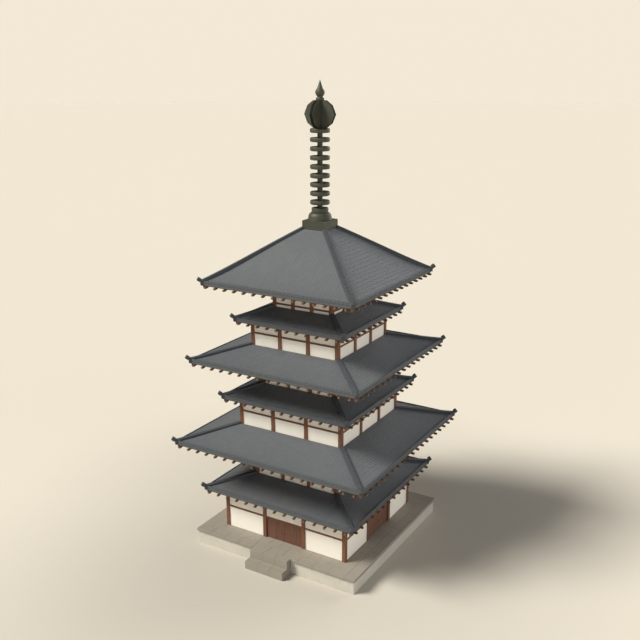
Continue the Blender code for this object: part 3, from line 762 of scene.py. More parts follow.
class PAGODA_OT_stage(bpy.types.Operator):
    """Set up the floor, the backdrop, the lights and the camera"""

    bl_idname = "pagoda.stage"
    bl_label = "Stage"

    FLOOR_RADIUS = 900.0
    FLOOR_DROP = 0.002
    # Painted shade on the floor: deepest within the near distance of the pagoda's axis, gone beyond the far
    # one
    PAINTED_SHADE_NEAR = 8.0
    PAINTED_SHADE_FAR = 30.0
    PAINTED_SHADE_TONE = 0.79
    NEUTRAL = (1.0, 1.0, 1.0)
    WARM = (1.0, 1.0, 0.96)
    COOL = (0.92, 1.0, 1.08)

    def execute(self, context):
        self.floor()
        self.lights()
        self.world(context.scene)
        self.camera(context.scene)
        return {"FINISHED"}

    def floor(self):
        shape = bmesh.new()
        bmesh.ops.create_circle(shape, cap_ends=True, radius=self.FLOOR_RADIUS, segments=96)
        mesh = as_mesh(shape, "studio_floor")
        mesh.materials.append(self.floor_material())
        floor = link("studio_floor", mesh)
        floor.location.z = -self.FLOOR_DROP

    def floor_material(self):
        """A plain matt floor, a little deeper in tone around the pagoda than far from it: painted shade."""
        surface = Surface("studio_floor", 0.95, specular=0.0)
        far_tone = Vector(settings().colours.floor)
        away = surface.add("ShaderNodeVectorMath", {0: surface.places()}, operation="LENGTH").outputs["Value"]
        # Painted shade: the floor's tone falls towards the pagoda
        base = surface.patched(away, self.PAINTED_SHADE_NEAR, self.PAINTED_SHADE_FAR, far_tone * self.PAINTED_SHADE_TONE, far_tone)
        surface.tree.links.new(base, surface.shader.inputs["Base Color"])
        return surface.material

    def lights(self):
        """Broad suns, each with a strength, a colour, a spread in degrees and where it shines from."""
        stage = settings().stage
        lamps = {
            "key_light": (stage.key, self.WARM, 24.0, (-0.525, -0.473, 0.708)),
            "rim_light": (stage.rim, self.NEUTRAL, 60.0, (0.303, 0.934, 0.191)),
            "side_light": (stage.side, self.COOL, 50.0, (0.940, -0.330, 0.090)),
            "fill_light": (stage.fill, self.COOL, 50.0, (0.190, -0.980, 0.060)),
        }
        for name, (energy, shade, spread, direction) in lamps.items():
            lamp = bpy.data.lights.new(name, "SUN")
            lamp.energy = energy
            lamp.color = shade
            lamp.angle = math.radians(spread)
            link(name, lamp).rotation_euler = Vector(direction).to_track_quat("Z", "Y").to_euler()

    def world(self, scene):
        """A faint white light from all around, and the backdrop's colour for the camera alone."""
        scene.world = bpy.data.worlds.new("studio")
        scene.world.use_nodes = True
        scene.world.node_tree.nodes.clear()
        tree = Tree(scene.world.node_tree)
        stage = settings().stage
        lit = tree.add("ShaderNodeBackground", {"Color": (1.0, 1.0, 1.0, 1.0), "Strength": stage.ambient})
        seen = tree.add("ShaderNodeBackground", {"Color": (*stage.backdrop, 1.0), "Strength": 1.0})
        ray = tree.add("ShaderNodeLightPath").outputs["Is Camera Ray"]
        both = tree.add("ShaderNodeMixShader", {0: ray, 1: lit.outputs[0], 2: seen.outputs[0]})
        tree.add("ShaderNodeOutputWorld", {"Surface": both.outputs[0]})

    def camera(self, scene):
        stage = settings().stage
        lens = bpy.data.cameras.new("camera")
        lens.lens = stage.lens
        lens.sensor_width = 36.0
        lens.clip_end = 2000.0
        camera = link("camera", lens)
        camera.location = stage.camera_place
        sight = Vector(stage.camera_target) - Vector(stage.camera_place)
        camera.rotation_euler = sight.to_track_quat("-Z", "Y").to_euler()
        scene.camera = camera
        scene.view_settings.view_transform = "Standard"


def lay_stones(shape, low, high, size, chance, shifted=False):
    """A course of stones between two corners, parted by open joints across X."""
    sizes = settings().stones
    (left, front, foot), (right, back, top) = low, high
    for start, end in joints_along(left, right, size, shifted):
        stone = block((start, front, foot), (end - sizes.joint, back, top), 0, sizes.arris)
        stamp(shape, stone, tone=chance.random())


class PAGODA_OT_platform(bpy.types.Operator):
    """Build the stone platform: facing blocks, edge slabs and floor slabs"""

    bl_idname = "pagoda.platform"
    bl_label = "Platform"

    FACING_DEPTH = 0.42
    CORE_TONE = 0.2
    EDGE_SLAB_SHARE = 1.1
    FLAG_ARRIS_SHARE = 0.6

    def execute(self, context):
        chance = random.Random(11)
        self.facing(chance)
        self.slabs(chance)
        return {"FINISHED"}

    def facing(self, chance):
        """Courses of blocks on each side, with the joints of one over the middles of the next."""
        sizes = settings().stones
        low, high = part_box("platform")
        core = high.x - self.FACING_DEPTH - sizes.joint
        shape, side = blank(), blank()
        stamp(shape, block((-core, -core, low.z), (core, core, high.z)), tone=self.CORE_TONE)
        height = (high.z - low.z) / sizes.courses
        for course in range(sizes.courses):
            base = low.z + course * height
            top = base + height - sizes.joint * (course < sizes.courses - 1)
            corner, far = (-high.x, low.y, base), (core, low.y + self.FACING_DEPTH, top)
            lay_stones(side, corner, far, sizes.block, chance, shifted=course % 2 == 1)
        on_four_sides(shape, side)
        piece("platform_stones", shape, ["facing_stone"], ["platform"])

    def slabs(self, chance):
        """Long slabs around the edge, with square floor slabs inside them."""
        sizes = settings().stones
        low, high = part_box("platform_coping")
        foot = low.z + GAP
        inner = high.x - sizes.edge_slab
        reach = inner - sizes.joint
        shape, side = blank(), blank()
        corner, far = (-high.x, low.y, foot), (reach, -inner, high.z)
        lay_stones(side, corner, far, sizes.block * self.EDGE_SLAB_SHARE, chance)
        on_four_sides(shape, side)
        count = round(2 * reach / sizes.floor_slab)
        size = 2 * reach / count
        far = (size - sizes.joint, size - sizes.joint, high.z)
        flag = block((0, 0, foot), far, 0, sizes.arris * self.FLAG_ARRIS_SHARE)
        for row in range(count):
            for column in range(count):
                corner = (-reach + column * size, -reach + row * size, 0)
                stamp(shape, flag, Matrix.Translation(corner), chance.random())
        piece("coping_slabs", shape, ["floor_stone"], ["platform_coping"])


class PAGODA_OT_steps(bpy.types.Operator):
    """Build the two wide stone steps in front of the platform"""

    bl_idname = "pagoda.steps"
    bl_label = "Steps"

    TREAD = 0.44
    STONE = 1.07

    def execute(self, context):
        chance = random.Random(12)
        joint = settings().stones.joint
        low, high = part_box("front_steps")
        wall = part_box("platform_coping")[0].y
        landing = wall - self.TREAD
        rise = (high.z - low.z) / 2
        rows = (
            (low.y, landing - joint, low.z, rise),
            (landing, high.y, low.z, rise - joint),
            (landing, wall - GAP, rise, high.z),
        )
        shape = blank()
        for index, (near, far, foot, top) in enumerate(rows):
            corners = (low.x, near, foot), (high.x + joint, far, top)
            lay_stones(shape, *corners, self.STONE, chance, shifted=index == 1)
        piece("step_stones", shape, ["floor_stone"], ["front_steps"])
        return {"FINISHED"}


def rail_band(middle):
    """How far back, how low and how high the thin rail in front of the plaster reaches."""
    rise = settings().timbers.rail_height / 2
    return PLASTER_SET_BACK - GAP, middle - rise, middle + rise


def beam_band(low, high):
    """The same of a beam nearly as deep as the posts."""
    return settings().timbers.post - PLATE_SET_BACK, low, high


def post_places(half):
    end = half - settings().timbers.post / 2
    return [-end, -end / 3, end / 3, end]


class TimberSet:
    """Adds timbers to one shape, each with its own tone."""

    def __init__(self, seed):
        self.shape = blank()
        self.chance = random.Random(seed)

    def add(self, low, high, along, angle):
        mesh = block(low, high, along, settings().timbers.arris)
        stamp(self.shape, mesh, turn(angle), self.chance.random())

    def side(self, half, low, high, posts, bands, angle):
        """The posts of one side, then its rails and beams in each bay between all four posts."""
        thick = settings().timbers.post
        for x in posts:
            self.add((x - thick / 2, -half, low), (x + thick / 2, -half + thick, high), 2, angle)
        reach = thick / 2 + GAP
        places = post_places(half)
        for back, foot, top in bands:
            for left, right in zip(places, places[1:]):
                near, far = -half + PLATE_SET_BACK, -half + back
                self.add((left + reach, near, foot), (right - reach, far, top), 0, angle)

    def ring(self, outer, inner, low, high):
        """Four beams around a square: two run through and two fit between them."""
        for angles, end in (((0.0, 180.0), outer), ((90.0, 270.0), inner - GAP)):
            for angle in angles:
                self.add((-end, -outer, low), (end, -inner, high), 0, angle)

    def finish(self, name, node):
        piece(name, self.shape, ["stained_timber"], [node])


class PAGODA_OT_ground_timbers(bpy.types.Operator):
    """Build the posts, rails and plate of the ground storey"""

    bl_idname = "pagoda.ground_timbers"
    bl_label = "Ground storey timbers"

    PLATE_DEPTH = 0.25

    def execute(self, context):
        sizes = settings().timbers
        low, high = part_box("front_frame")
        rail = rail_band(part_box("front_door_head")[0].z + sizes.rail_height / 2)
        places = post_places(high.x)
        for seed, (side, angle) in enumerate(SIDE_TURNS.items()):
            timbers = TimberSet(20 + seed)
            own_posts = places if side in ("front", "back") else places[1:3]
            timbers.side(high.x, low.z, high.z, own_posts, [rail], angle)
            timbers.finish(f"{side}_posts_and_rail", f"{side}_frame")
        timbers = TimberSet(25)
        low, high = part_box("ground_wall_plate")
        timbers.ring(high.x, high.x - self.PLATE_DEPTH, low.z, low.z + sizes.plate_height)
        timbers.finish("ground_plate_beams", "ground_wall_plate")
        return {"FINISHED"}


class PAGODA_OT_upper_timbers(bpy.types.Operator):
    """Build the posts, beams and rails of the inner frames and of the upper storeys"""

    bl_idname = "pagoda.upper_timbers"
    bl_label = "Upper timbers"

    def execute(self, context):
        forms = {form.name: form for form in roof_forms()}
        for level in LEVELS:
            below = forms.get(f"main_roof_{level - 1}")
            above = forms[f"main_roof_{level}"]
            node = f"core_frame_{level}"
            foot = self.post_foot(node, below)
            beam_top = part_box(f"upper_wall_{level}")[0].z - GAP
            bands = [beam_band(beam_top - EAVE_DEPTH, beam_top)]
            if below:
                bands.append(beam_band(foot, foot + SILL_HEIGHT))
            if level == LEVELS[-1]:
                bands.append(rail_band(TOP_CORE_RAIL))
            self.ring_of_posts(f"core_timbers_{level}", node, 30 + level, above, foot, bands)
            if below:
                node = f"storey_{level}_frame"
                foot = self.post_foot(node, below)
                sill_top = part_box(f"storey_{level}_wall")[0].z - GAP
                bands = [rail_band(STOREY_RAILS[level]), beam_band(foot, sill_top)]
                above = forms[f"pent_roof_{level}"]
                self.ring_of_posts(f"storey_{level}_timbers", node, 40 + level, above, foot, bands)
        return {"FINISHED"}

    def post_foot(self, node, below):
        """The foot of a ring of posts: its node's, or just inside the roof below."""
        low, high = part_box(node)
        if below is None:
            return low.z
        return below.underside(high.x - settings().timbers.post) + PLATE_SET_BACK

    def ring_of_posts(self, name, node, seed, above, foot, bands):
        """Posts around a square, the beam that carries the rafters above, and bands between the posts."""
        sizes = settings().timbers
        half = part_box(node)[1].x
        outer, inner = half - PLATE_SET_BACK, half - sizes.post + PLATE_SET_BACK
        top = above.underside(outer) - sizes.rafter_depth - 2 * GAP
        plate_foot = top - sizes.plate_height
        timbers = TimberSet(seed)
        timbers.ring(outer, inner, plate_foot, top)
        for angle in SIDE_TURNS.values():
            timbers.side(half, foot, plate_foot - GAP, post_places(half)[:3], bands, angle)
        timbers.finish(name, node)


class PAGODA_OT_plaster(bpy.types.Operator):
    """Finish the plaster walls, which keep the frame's own shapes"""

    bl_idname = "pagoda.plaster"
    bl_label = "Plaster"

    def execute(self, context):
        for name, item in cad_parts.items():
            wall = "wall" in name and name != "ground_wall_plate"
            if wall or name.endswith(("_panel", "_door_head")):
                item.data.materials.clear()
                item.data.materials.append(finish("lime_plaster"))
        return {"FINISHED"}


class PAGODA_OT_doors(bpy.types.Operator):
    """Build the boarded door leaves, each on its own body, and the two closed pairs"""

    bl_idname = "pagoda.doors"
    bl_label = "Doors"

    LEAVES = {
        "front_left_leaf": "front_door_left_leaf",
        "front_right_leaf": "front_door_right_leaf",
        "right_front_leaf": "right_door_front_leaf",
        "right_back_leaf": "right_door_back_leaf",
    }
    FINISHES = ["door_boards", "black_iron"]
    BOARDS = 6
    BOARD_JOINT = 0.003
    BOARD_ARRIS = 0.007
    BOARD_SET_BACK = 0.010
    BATTEN_SPACE = 0.022
    BATTEN_INSET = 0.04
    BATTEN_HALF_HEIGHT = 0.06
    BATTEN_ARRIS = 0.006
    NAIL_ROWS = (0.17, 0.50, 0.83)
    PIVOT_LENGTH = 0.0147
    PIVOT_LAP = 0.01
    PIVOT_INSET = 0.055
    PIVOT_RADIUS = 0.03
    NAIL_RADIUS = 0.016
    NAIL_FLATNESS = 0.55

    # The hanging ring, its wire and its round plate, and where they are on the leaf
    RING_INSET = 0.10
    RING_DROP = 0.12
    RING_RADIUS = 0.042
    RING_WIRE = 0.006
    RING_PLACE = (0.0, -0.012, -0.036)
    RING_PLATE = {"radius1": 0.034, "radius2": 0.026, "depth": 0.010}
    RING_PLATE_PLACE = (0.0, -0.004, 0.0)

    def execute(self, context):
        left = self.leaf("front_door_left_leaf", -1)
        right = self.leaf("front_door_right_leaf", 1)
        for body, node in self.LEAVES.items():
            mesh = left if node in ("front_door_left_leaf", "right_door_front_leaf") else right
            self.hang(f"{node}_boards", [mesh], node, body)
        for side in ("back", "left"):
            self.hang(f"{side}_door_boards", [left, right], f"{side}_door", "building")
        return {"FINISHED"}

    def hang(self, name, meshes, node, body):
        """Leaves drawn for the front, on the side that a node's name starts with."""
        shape = blank()
        for mesh in meshes:
            stamp(shape, mesh, turn(SIDE_TURNS[node.split("_")[0]]))
        piece(name, shape, self.FINISHES, [node], body)

    def leaf(self, node, hand):
        """One leaf of the front pair: upright boards, three battens behind them, pivots, nails and a ring."""
        low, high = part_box(node)
        chance = random.Random(60 + hand)
        foot, top = low.z + self.PIVOT_LENGTH, high.z - self.PIVOT_LENGTH
        face, back = low.y + self.BOARD_SET_BACK, high.y - self.BATTEN_SPACE
        width = (high.x - low.x) / self.BOARDS
        shape = blank()
        for index in range(self.BOARDS):
            start = low.x + width * index
            far = (start + width - self.BOARD_JOINT, back, top)
            stamp(shape, block((start, face, foot), far, 2, self.BOARD_ARRIS), tone=chance.random())
        nail = self.nail()
        for share in self.NAIL_ROWS:
            middle = foot + (top - foot) * share
            corner = (low.x + self.BATTEN_INSET, back + GAP, middle - self.BATTEN_HALF_HEIGHT)
            far = (high.x - self.BATTEN_INSET, high.y, middle + self.BATTEN_HALF_HEIGHT)
            stamp(shape, block(corner, far, 0, self.BATTEN_ARRIS), tone=chance.random())
            for index in range(self.BOARDS):
                stamp(shape, nail, Matrix.Translation((low.x + width * (index + 0.5), face, middle)))
        hinge_side, meeting_side = (low.x, high.x) if hand < 0 else (high.x, low.x)
        spot = Vector((hinge_side - hand * self.PIVOT_INSET, (low.y + high.y) / 2, 0.0))
        for base, end in ((low.z, foot + self.PIVOT_LAP), (top - self.PIVOT_LAP, high.z)):
            stamp(shape, self.pivot(end - base), Matrix.Translation(spot + UP * (base + end) / 2))
        ring_place = (meeting_side + hand * self.RING_INSET, face, (foot + top) / 2 - self.RING_DROP)
        stamp(shape, self.ring(), Matrix.Translation(ring_place))
        return as_mesh(shape)

    def iron(self, made):
        """A smooth iron part as a mesh."""
        bmesh.ops.recalc_face_normals(made, faces=made.faces)
        for face in made.faces:
            face.material_index = 1
            face.smooth = True
        return as_mesh(made)

    def nail(self):
        made = blank()
        size = {"radius": self.NAIL_RADIUS, "matrix": Matrix.Diagonal((1.0, self.NAIL_FLATNESS, 1.0, 1.0))}
        bmesh.ops.create_uvsphere(made, u_segments=8, v_segments=4, **size)
        return self.iron(made)

    def pivot(self, height):
        made = blank()
        size = {"radius1": self.PIVOT_RADIUS, "radius2": self.PIVOT_RADIUS, "depth": height}
        bmesh.ops.create_cone(made, cap_ends=True, segments=16, **size)
        return self.iron(made)

    def ring(self):
        """A hanging ring on a small round plate."""
        plate, ring, both = blank(), blank(), blank()
        bmesh.ops.create_cone(plate, cap_ends=True, segments=16, **self.RING_PLATE)
        section = Matrix.Translation((self.RING_RADIUS, 0.0, 0.0)) @ turn(90, "X")
        bmesh.ops.create_circle(ring, cap_ends=False, radius=self.RING_WIRE, segments=8, matrix=section)
        spun(ring, 20)
        for made, spot in ((plate, self.RING_PLATE_PLACE), (ring, self.RING_PLACE)):
            stamp(both, self.iron(made), Matrix.Translation(spot) @ turn(90, "X"))
        return as_mesh(both)


class PAGODA_OT_rafters(bpy.types.Operator):
    """Build the rafters and hip beams under each roof, with painted ends"""

    bl_idname = "pagoda.rafters"
    bl_label = "Rafters"

    HIP_CLEARANCE = 0.12
    HIP_SHORT = 0.10
    HIP_DROP = 0.03

    def execute(self, context):
        for form, chance in seeded_roofs(70):
            shape, side = blank(), blank()
            for u in self.places(form):
                stamp(side, self.rafter(form, u), tone=chance.random())
            stamp(side, self.hip_beam(form), tone=chance.random())
            on_four_sides(shape, side)
            finishes = ["weathered_rafters", "painted_ends"]
            piece(f"{form.rafters}_timbers", shape, finishes, [form.rafters])
        return {"FINISHED"}

    def places(self, form):
        sizes = settings().timbers
        run = 2 * (form.eave - sizes.rafter_inset)
        count = round(run / sizes.rafter_pitch)
        return [-run / 2 + run * step / count for step in range(count + 1)]

    def beam(self, left, right, near, far, depth):
        """A beam drawn flat along Y with its top at zero and its ends painted."""
        arris = settings().timbers.arris
        return block((left, -far, -depth), (right, -near, 0.0), 1, arris, end_material=1)

    def lean(self, form, slope, drop):
        """Lays a beam drawn flat under the roof's slope, which falls towards -Y."""
        top = form.underside(0.0) - drop
        return Matrix(((1, 0, 0, 0), (0, 1, 0, 0), (0, slope, 1, top), (0, 0, 0, 1)))

    def rafter(self, form, u):
        """A rafter that leans with the roof and runs level beyond the eave."""
        sizes = settings().timbers
        half = sizes.rafter_width / 2
        near = max(form.rafter_heel, abs(u) + self.HIP_CLEARANCE)
        mesh = self.beam(u - half, u + half, near, form.eave + RAFTER_REACH, sizes.rafter_depth)
        shape = blank()
        stamp(shape, mesh, self.lean(form, form.soffit_slope, GAP))
        eave_line = {"plane_co": (0, -form.eave, 0), "plane_no": (0, 1, 0)}
        bmesh.ops.bisect_plane(shape, geom=everything(shape), **eave_line)
        for corner in shape.verts:
            beyond = -form.eave - corner.co.y
            if beyond > GAP:
                corner.co.z += beyond * form.soffit_slope
        return as_mesh(shape)

    def hip_beam(self, form):
        """The beam under the hip between the front and the left slope."""
        sizes = settings().timbers
        half = sizes.hip_beam_width / 2
        near, far = form.carrier * math.sqrt(2), (form.eave - self.HIP_SHORT) * math.sqrt(2)
        mesh = self.beam(-half, half, near, far, sizes.hip_beam_depth)
        mesh.transform(turn(-45) @ self.lean(form, form.soffit_slope / math.sqrt(2), self.HIP_DROP))
        return mesh


class PAGODA_OT_soffits(bpy.types.Operator):
    """Build the boards that lie on the rafters, darkened with painted shade"""

    bl_idname = "pagoda.soffits"
    bl_label = "Soffit boards"

    JOINT = 0.004

    def execute(self, context):
        for form, chance in seeded_roofs(80):
            shape = blank()
            inner = form.rafter_heel if form.is_top else form.foot
            run = form.eave - inner
            count = round(run / settings().timbers.soffit_board)
            for index in range(count):
                near = inner + run * index / count + self.JOINT
                far = inner + run * (index + 1) / count
                corners = ((far, 0.0), (far, SOFFIT_THICK), (near, SOFFIT_THICK), (near, 0.0))
                board = square_ring([(half, form.underside(half) + lift) for half, lift in corners])
                stamp(shape, as_mesh(board), tone=chance.random())
            piece(f"{form.name}_boards", shape, ["smoked_boards"])
        return {"FINISHED"}


class PAGODA_OT_roofs(bpy.types.Operator):
    """Build the bed, the boarded eaves, the tiles and the dark eave tiles of each roof"""

    bl_idname = "pagoda.roofs"
    bl_label = "Roof tiles"

    # The bed and the boards along its front edge
    BED_DROP = 0.004
    FASCIA_BACK = 0.012
    BATTEN = 0.095
    BATTEN_BACK = 0.002
    BATTEN_SLANT = 0.004
    BOARDED_EDGE = 0.05

    # The top roof's shell: the depth of its boarded eaves, their thickness, and the hole around the axis
    SHELL_START = 1.10
    SHELL_STEP = 0.10
    EAVE_BOARDING = 0.08
    HOLE = 0.45
    HOLE_DROP = 0.001

    # A tile's hollow and its roll, as shares of its width, and what lies under its upper side
    PAN_SHARE = 0.70
    PAN_STEPS = (0.0, 0.5, 1.0)
    ROLL_STEPS = (0.25, 0.5, 0.75, 1.0)
    TILE_UNDER = 0.006

    # An eave tile: its lip, the rim as (distance back, height) points, its head and its edges
    EAVE_LIP = 0.070
    RIM = ((0.0, 0.022), (0.030, 0.058), (0.075, 0.070), (0.120, 0.054))
    EAVE_HEAD = 0.010
    EAVE_UNDER = 0.03
    EAVE_ARRIS = 0.005

    HIP_MARGIN = 0.05

    def execute(self, context):
        tile = self.roll_tile()
        for form, chance in seeded_roofs(90):
            shape, side = blank(), blank()
            self.bed(shape, form)
            self.courses(side, form, tile, chance)
            self.eave_tiles(side, form, chance)
            self.trim_to_hips(side)
            on_four_sides(shape, side)
            finishes = ["smoked_tile", "dark_tile", "eave_board"]
            piece(f"{form.name}_tiles", shape, finishes, [form.name], smooth_below=40)
        return {"FINISHED"}

    def bed(self, shape, form):
        """The clay under the tiles, two boards along the front of the eave and a plain underside."""
        lift = SOFFIT_THICK + GAP
        count = form.courses()
        outline = []
        for course in range(count + 1):
            half = form.foot + GAP + (form.run - GAP - self.FASCIA_BACK) * course / count
            outline.append((half, form.top(half) - self.BED_DROP))
        edge = form.eave - self.BATTEN_BACK
        outline.append((form.eave - self.FASCIA_BACK, form.low + self.BATTEN))
        outline.append((edge, form.low + self.BATTEN - self.BATTEN_SLANT))
        outline.append((edge, form.low + lift))
        if form.is_top:
            outline += self.open_space(form, lift)
        else:
            outline.append((form.foot + GAP, form.underside(form.foot) + lift))
        ring = square_ring(outline)
        for face in ring.faces:
            middle = face.calc_center_median()
            reach = max(abs(middle.x), abs(middle.y))
            if abs(face.normal.z) < 0.5 and reach > form.eave - self.BOARDED_EDGE:
                face.material_index = 2
        stamp(shape, as_mesh(ring), tone=0.5)

    def open_space(self, form, lift):
        """The underside of the top roof: boarded eaves, then a shell over an open space."""
        heel = form.rafter_heel
        split = form.eave - self.SHELL_START
        step = split - self.SHELL_STEP
        return [
            (heel, form.underside(heel) + lift),
            (heel, form.underside(heel) + self.EAVE_BOARDING),
            (step, form.underside(step) + self.EAVE_BOARDING),
            (split, form.top(split) - EAVE_DEPTH),
            (self.HOLE, form.foot_z - EAVE_DEPTH),
            (self.HOLE, form.foot_z - self.HOLE_DROP),
        ]

    def roll_tile(self):
        """A clay tile one unit long: a shallow pan beside a low roll, higher at its foot than at its head."""
        sizes = settings().tiles
        width = sizes.row_pitch - sizes.joint
        rest = 1 - self.PAN_SHARE
        section = []
        for share in self.PAN_STEPS:
            section.append((share * self.PAN_SHARE, -sizes.pan * math.sin(math.pi * share)))
        for share in self.ROLL_STEPS:
            section.append((self.PAN_SHARE + share * rest, sizes.roll * math.sin(math.pi * share)))
        points = [(share * width, height + sizes.step) for share, height in section]
        points += [(width, -self.TILE_UNDER), (0.0, -self.TILE_UNDER)]
        shape, far = prism([(x, 0.0, z) for x, z in points], (0, 1.0, 0))
        head = [corner for corner in far if corner.co.z > 0.0]
        bmesh.ops.translate(shape, vec=(0, 0, -sizes.step), verts=head)
        marked = shape.faces.layers.float[EDGE]
        for face in shape.faces:
            face[marked] = 1.0 if face.normal.y < -0.9 else 0.0
        return as_mesh(shape)

    def courses(self, shape, form, tile, chance):
        """Tiles in courses over the slope that faces -Y; the hips are trimmed later."""
        pitch = settings().tiles.row_pitch
        count = form.courses()
        for course in range(count):
            lower = form.eave - form.run * course / count
            upper = form.eave - form.run * (course + 1) / count
            reach = math.ceil(lower / pitch)
            for column in range(-reach, reach):
                foot = Vector((column * pitch, -lower, form.top(lower)))
                head = Vector((column * pitch, -upper - GAP, form.top(upper)))
                stamp(shape, tile, laid_along(foot, head), chance.random())

    def eave_tiles(self, shape, form, chance):
        """Dark tiles along the eave, each with a rounded rim and a lip that hangs over the boards."""
        sizes = settings().tiles
        edge, top = form.eave, form.top(form.eave)
        head, inner = edge - sizes.eave_tile, edge - self.EAVE_UNDER
        section = [(edge, top - self.EAVE_LIP)]
        section += [(edge - back, form.top(edge - back) + high) for back, high in self.RIM]
        section += [(head, form.top(head) + self.EAVE_HEAD), (head, form.top(head) - self.EAVE_UNDER)]
        section += [(inner, top - self.EAVE_UNDER), (inner, top - self.EAVE_LIP)]
        outline = [(0.0, -half, height) for half, height in section]
        made = prism(outline, (sizes.row_pitch - sizes.joint, 0, 0))[0]
        ease_edges(made, self.EAVE_ARRIS)
        for face in made.faces:
            face.material_index = 1
        mesh = as_mesh(made)
        reach = math.ceil(form.eave / sizes.row_pitch)
        for column in range(-reach, reach):
            stamp(shape, mesh, Matrix.Translation((column * sizes.row_pitch, 0, 0)), chance.random())

    def trim_to_hips(self, shape):
        """Cuts the tiles of the slope that faces -Y along its two hips and closes the cuts."""
        for side in (-1.0, 1.0):
            out = Vector((side, 1.0, 0.0)).normalized()
            hip = {"plane_co": -out * self.HIP_MARGIN, "plane_no": out}
            made = bmesh.ops.bisect_plane(shape, geom=everything(shape), clear_outer=True, **hip)
            bmesh.ops.holes_fill(shape, edges=only(bmesh.types.BMEdge, made["geom_cut"]), sides=0)


class PAGODA_OT_hip_ridges(bpy.types.Operator):
    """Build the stacked flat tiles along each hip, with an upturned block at the tip"""

    bl_idname = "pagoda.hip_ridges"
    bl_label = "Hip ridges"

    # Half-width, foot and top of the clay core, then of each course of tiles with its arris
    CORE = (0.140, -0.20, 0.120)
    LAYERS = ((0.148, -0.15, 0.040, 0.005), (0.144, 0.043, 0.082, 0.005), (0.150, 0.085, 0.130, 0.012))
    CORE_SHORT = 0.012
    CORE_TONE = 0.1
    START_INSIDE = 0.06
    PAST_EAVE = 0.05
    STRAIGHTER = 0.65
    STEPS = 10

    # The block at the tip, its panels, and where it stands from the corner of the eave
    BLOCK = 0.255
    BLOCK_ARRIS = 0.012
    PANEL = {"border": 0.035, "slope": 0.006, "depth": 0.008}
    SMALLEST_SIDE = 0.04
    OUT = 0.10
    LIFT = 0.455
    TILT = 35.0

    def execute(self, context):
        for form, chance in seeded_roofs(100):
            shape, corner = blank(), blank()
            self.core(corner, form)
            for index, layer in enumerate(self.LAYERS):
                self.layer(corner, form, index, layer, chance)
            stamp(corner, self.end_block(form), tone=chance.random())
            on_four_sides(shape, corner)
            piece(f"{form.name}_ridges", shape, ["dark_tile"], smooth_below=30)
        return {"FINISHED"}

    def path(self, form, short=0.0):
        """Places along the -X, -Y hip, from inside the corner of the wall to just past the eave."""
        start, stop = form.foot - self.START_INSIDE + short, form.eave + self.PAST_EAVE - short
        places = []
        for step in range(self.STEPS + 1):
            half = start + (stop - start) * step / self.STEPS
            sagging = form.top(half)
            height = sagging + (form.straight(half) - sagging) * self.STRAIGHTER
            places.append(Vector((-half, -half, height)))
        return places

    def core(self, shape, form):
        """The clay inside the ridge, just behind the faces of its tiles."""
        half, low, high = self.CORE
        made = blank()
        outline = [(-half, low), (half, low), (half, high), (-half, high)]
        sweep(made, outline, self.path(form, self.CORE_SHORT), Vector((-1, 1, 0)).normalized())
        close_seams(made)
        map_ring(made)
        stamp(shape, as_mesh(made), tone=self.CORE_TONE)

    def layer(self, shape, form, index, layer, chance):
        """One course of flat tiles, its joints over the middles of the course below."""
        half, low, high, arris = layer
        sizes = settings().tiles
        path = self.path(form)
        count = max(3, round((path[-1] - path[0]).length / sizes.ridge_tile))
        for near, far in joints_along(0.0, 1.0, 1.0 / count, index % 2 == 1):
            foot, head = self.along(path, near), self.along(path, far)
            reach = (head - foot).length
            made = block((-half, 0.0, low), (half, reach - sizes.joint, high), 1, arris)
            made.transform(Matrix.Diagonal((1.0, 1.0 / reach, 1.0, 1.0)))
            stamp(shape, made, laid_along(foot, head), chance.random())

    def along(self, path, share):
        """A place on a path of even steps."""
        spot = share * (len(path) - 1)
        index = min(int(spot), len(path) - 2)
        return path[index].lerp(path[index + 1], spot - index)

    def end_block(self, form):
        """The upturned block at the tip, with a sunk panel on each side face."""
        shape = blank()
        bmesh.ops.create_cube(shape, size=self.BLOCK)
        ease_edges(shape, self.BLOCK_ARRIS)
        walls = [face for face in shape.faces if abs(face.normal.z) < 0.5]
        sink_panels(shape, [face for face in walls if face.calc_area() > self.SMALLEST_SIDE], **self.PANEL)
        mesh = as_mesh(shape)
        out = -form.eave - self.OUT
        spot = Matrix.Translation((out, out, form.low + self.LIFT))
        mesh.transform(spot @ turn(45) @ turn(self.TILT, "Y"))
        return mesh


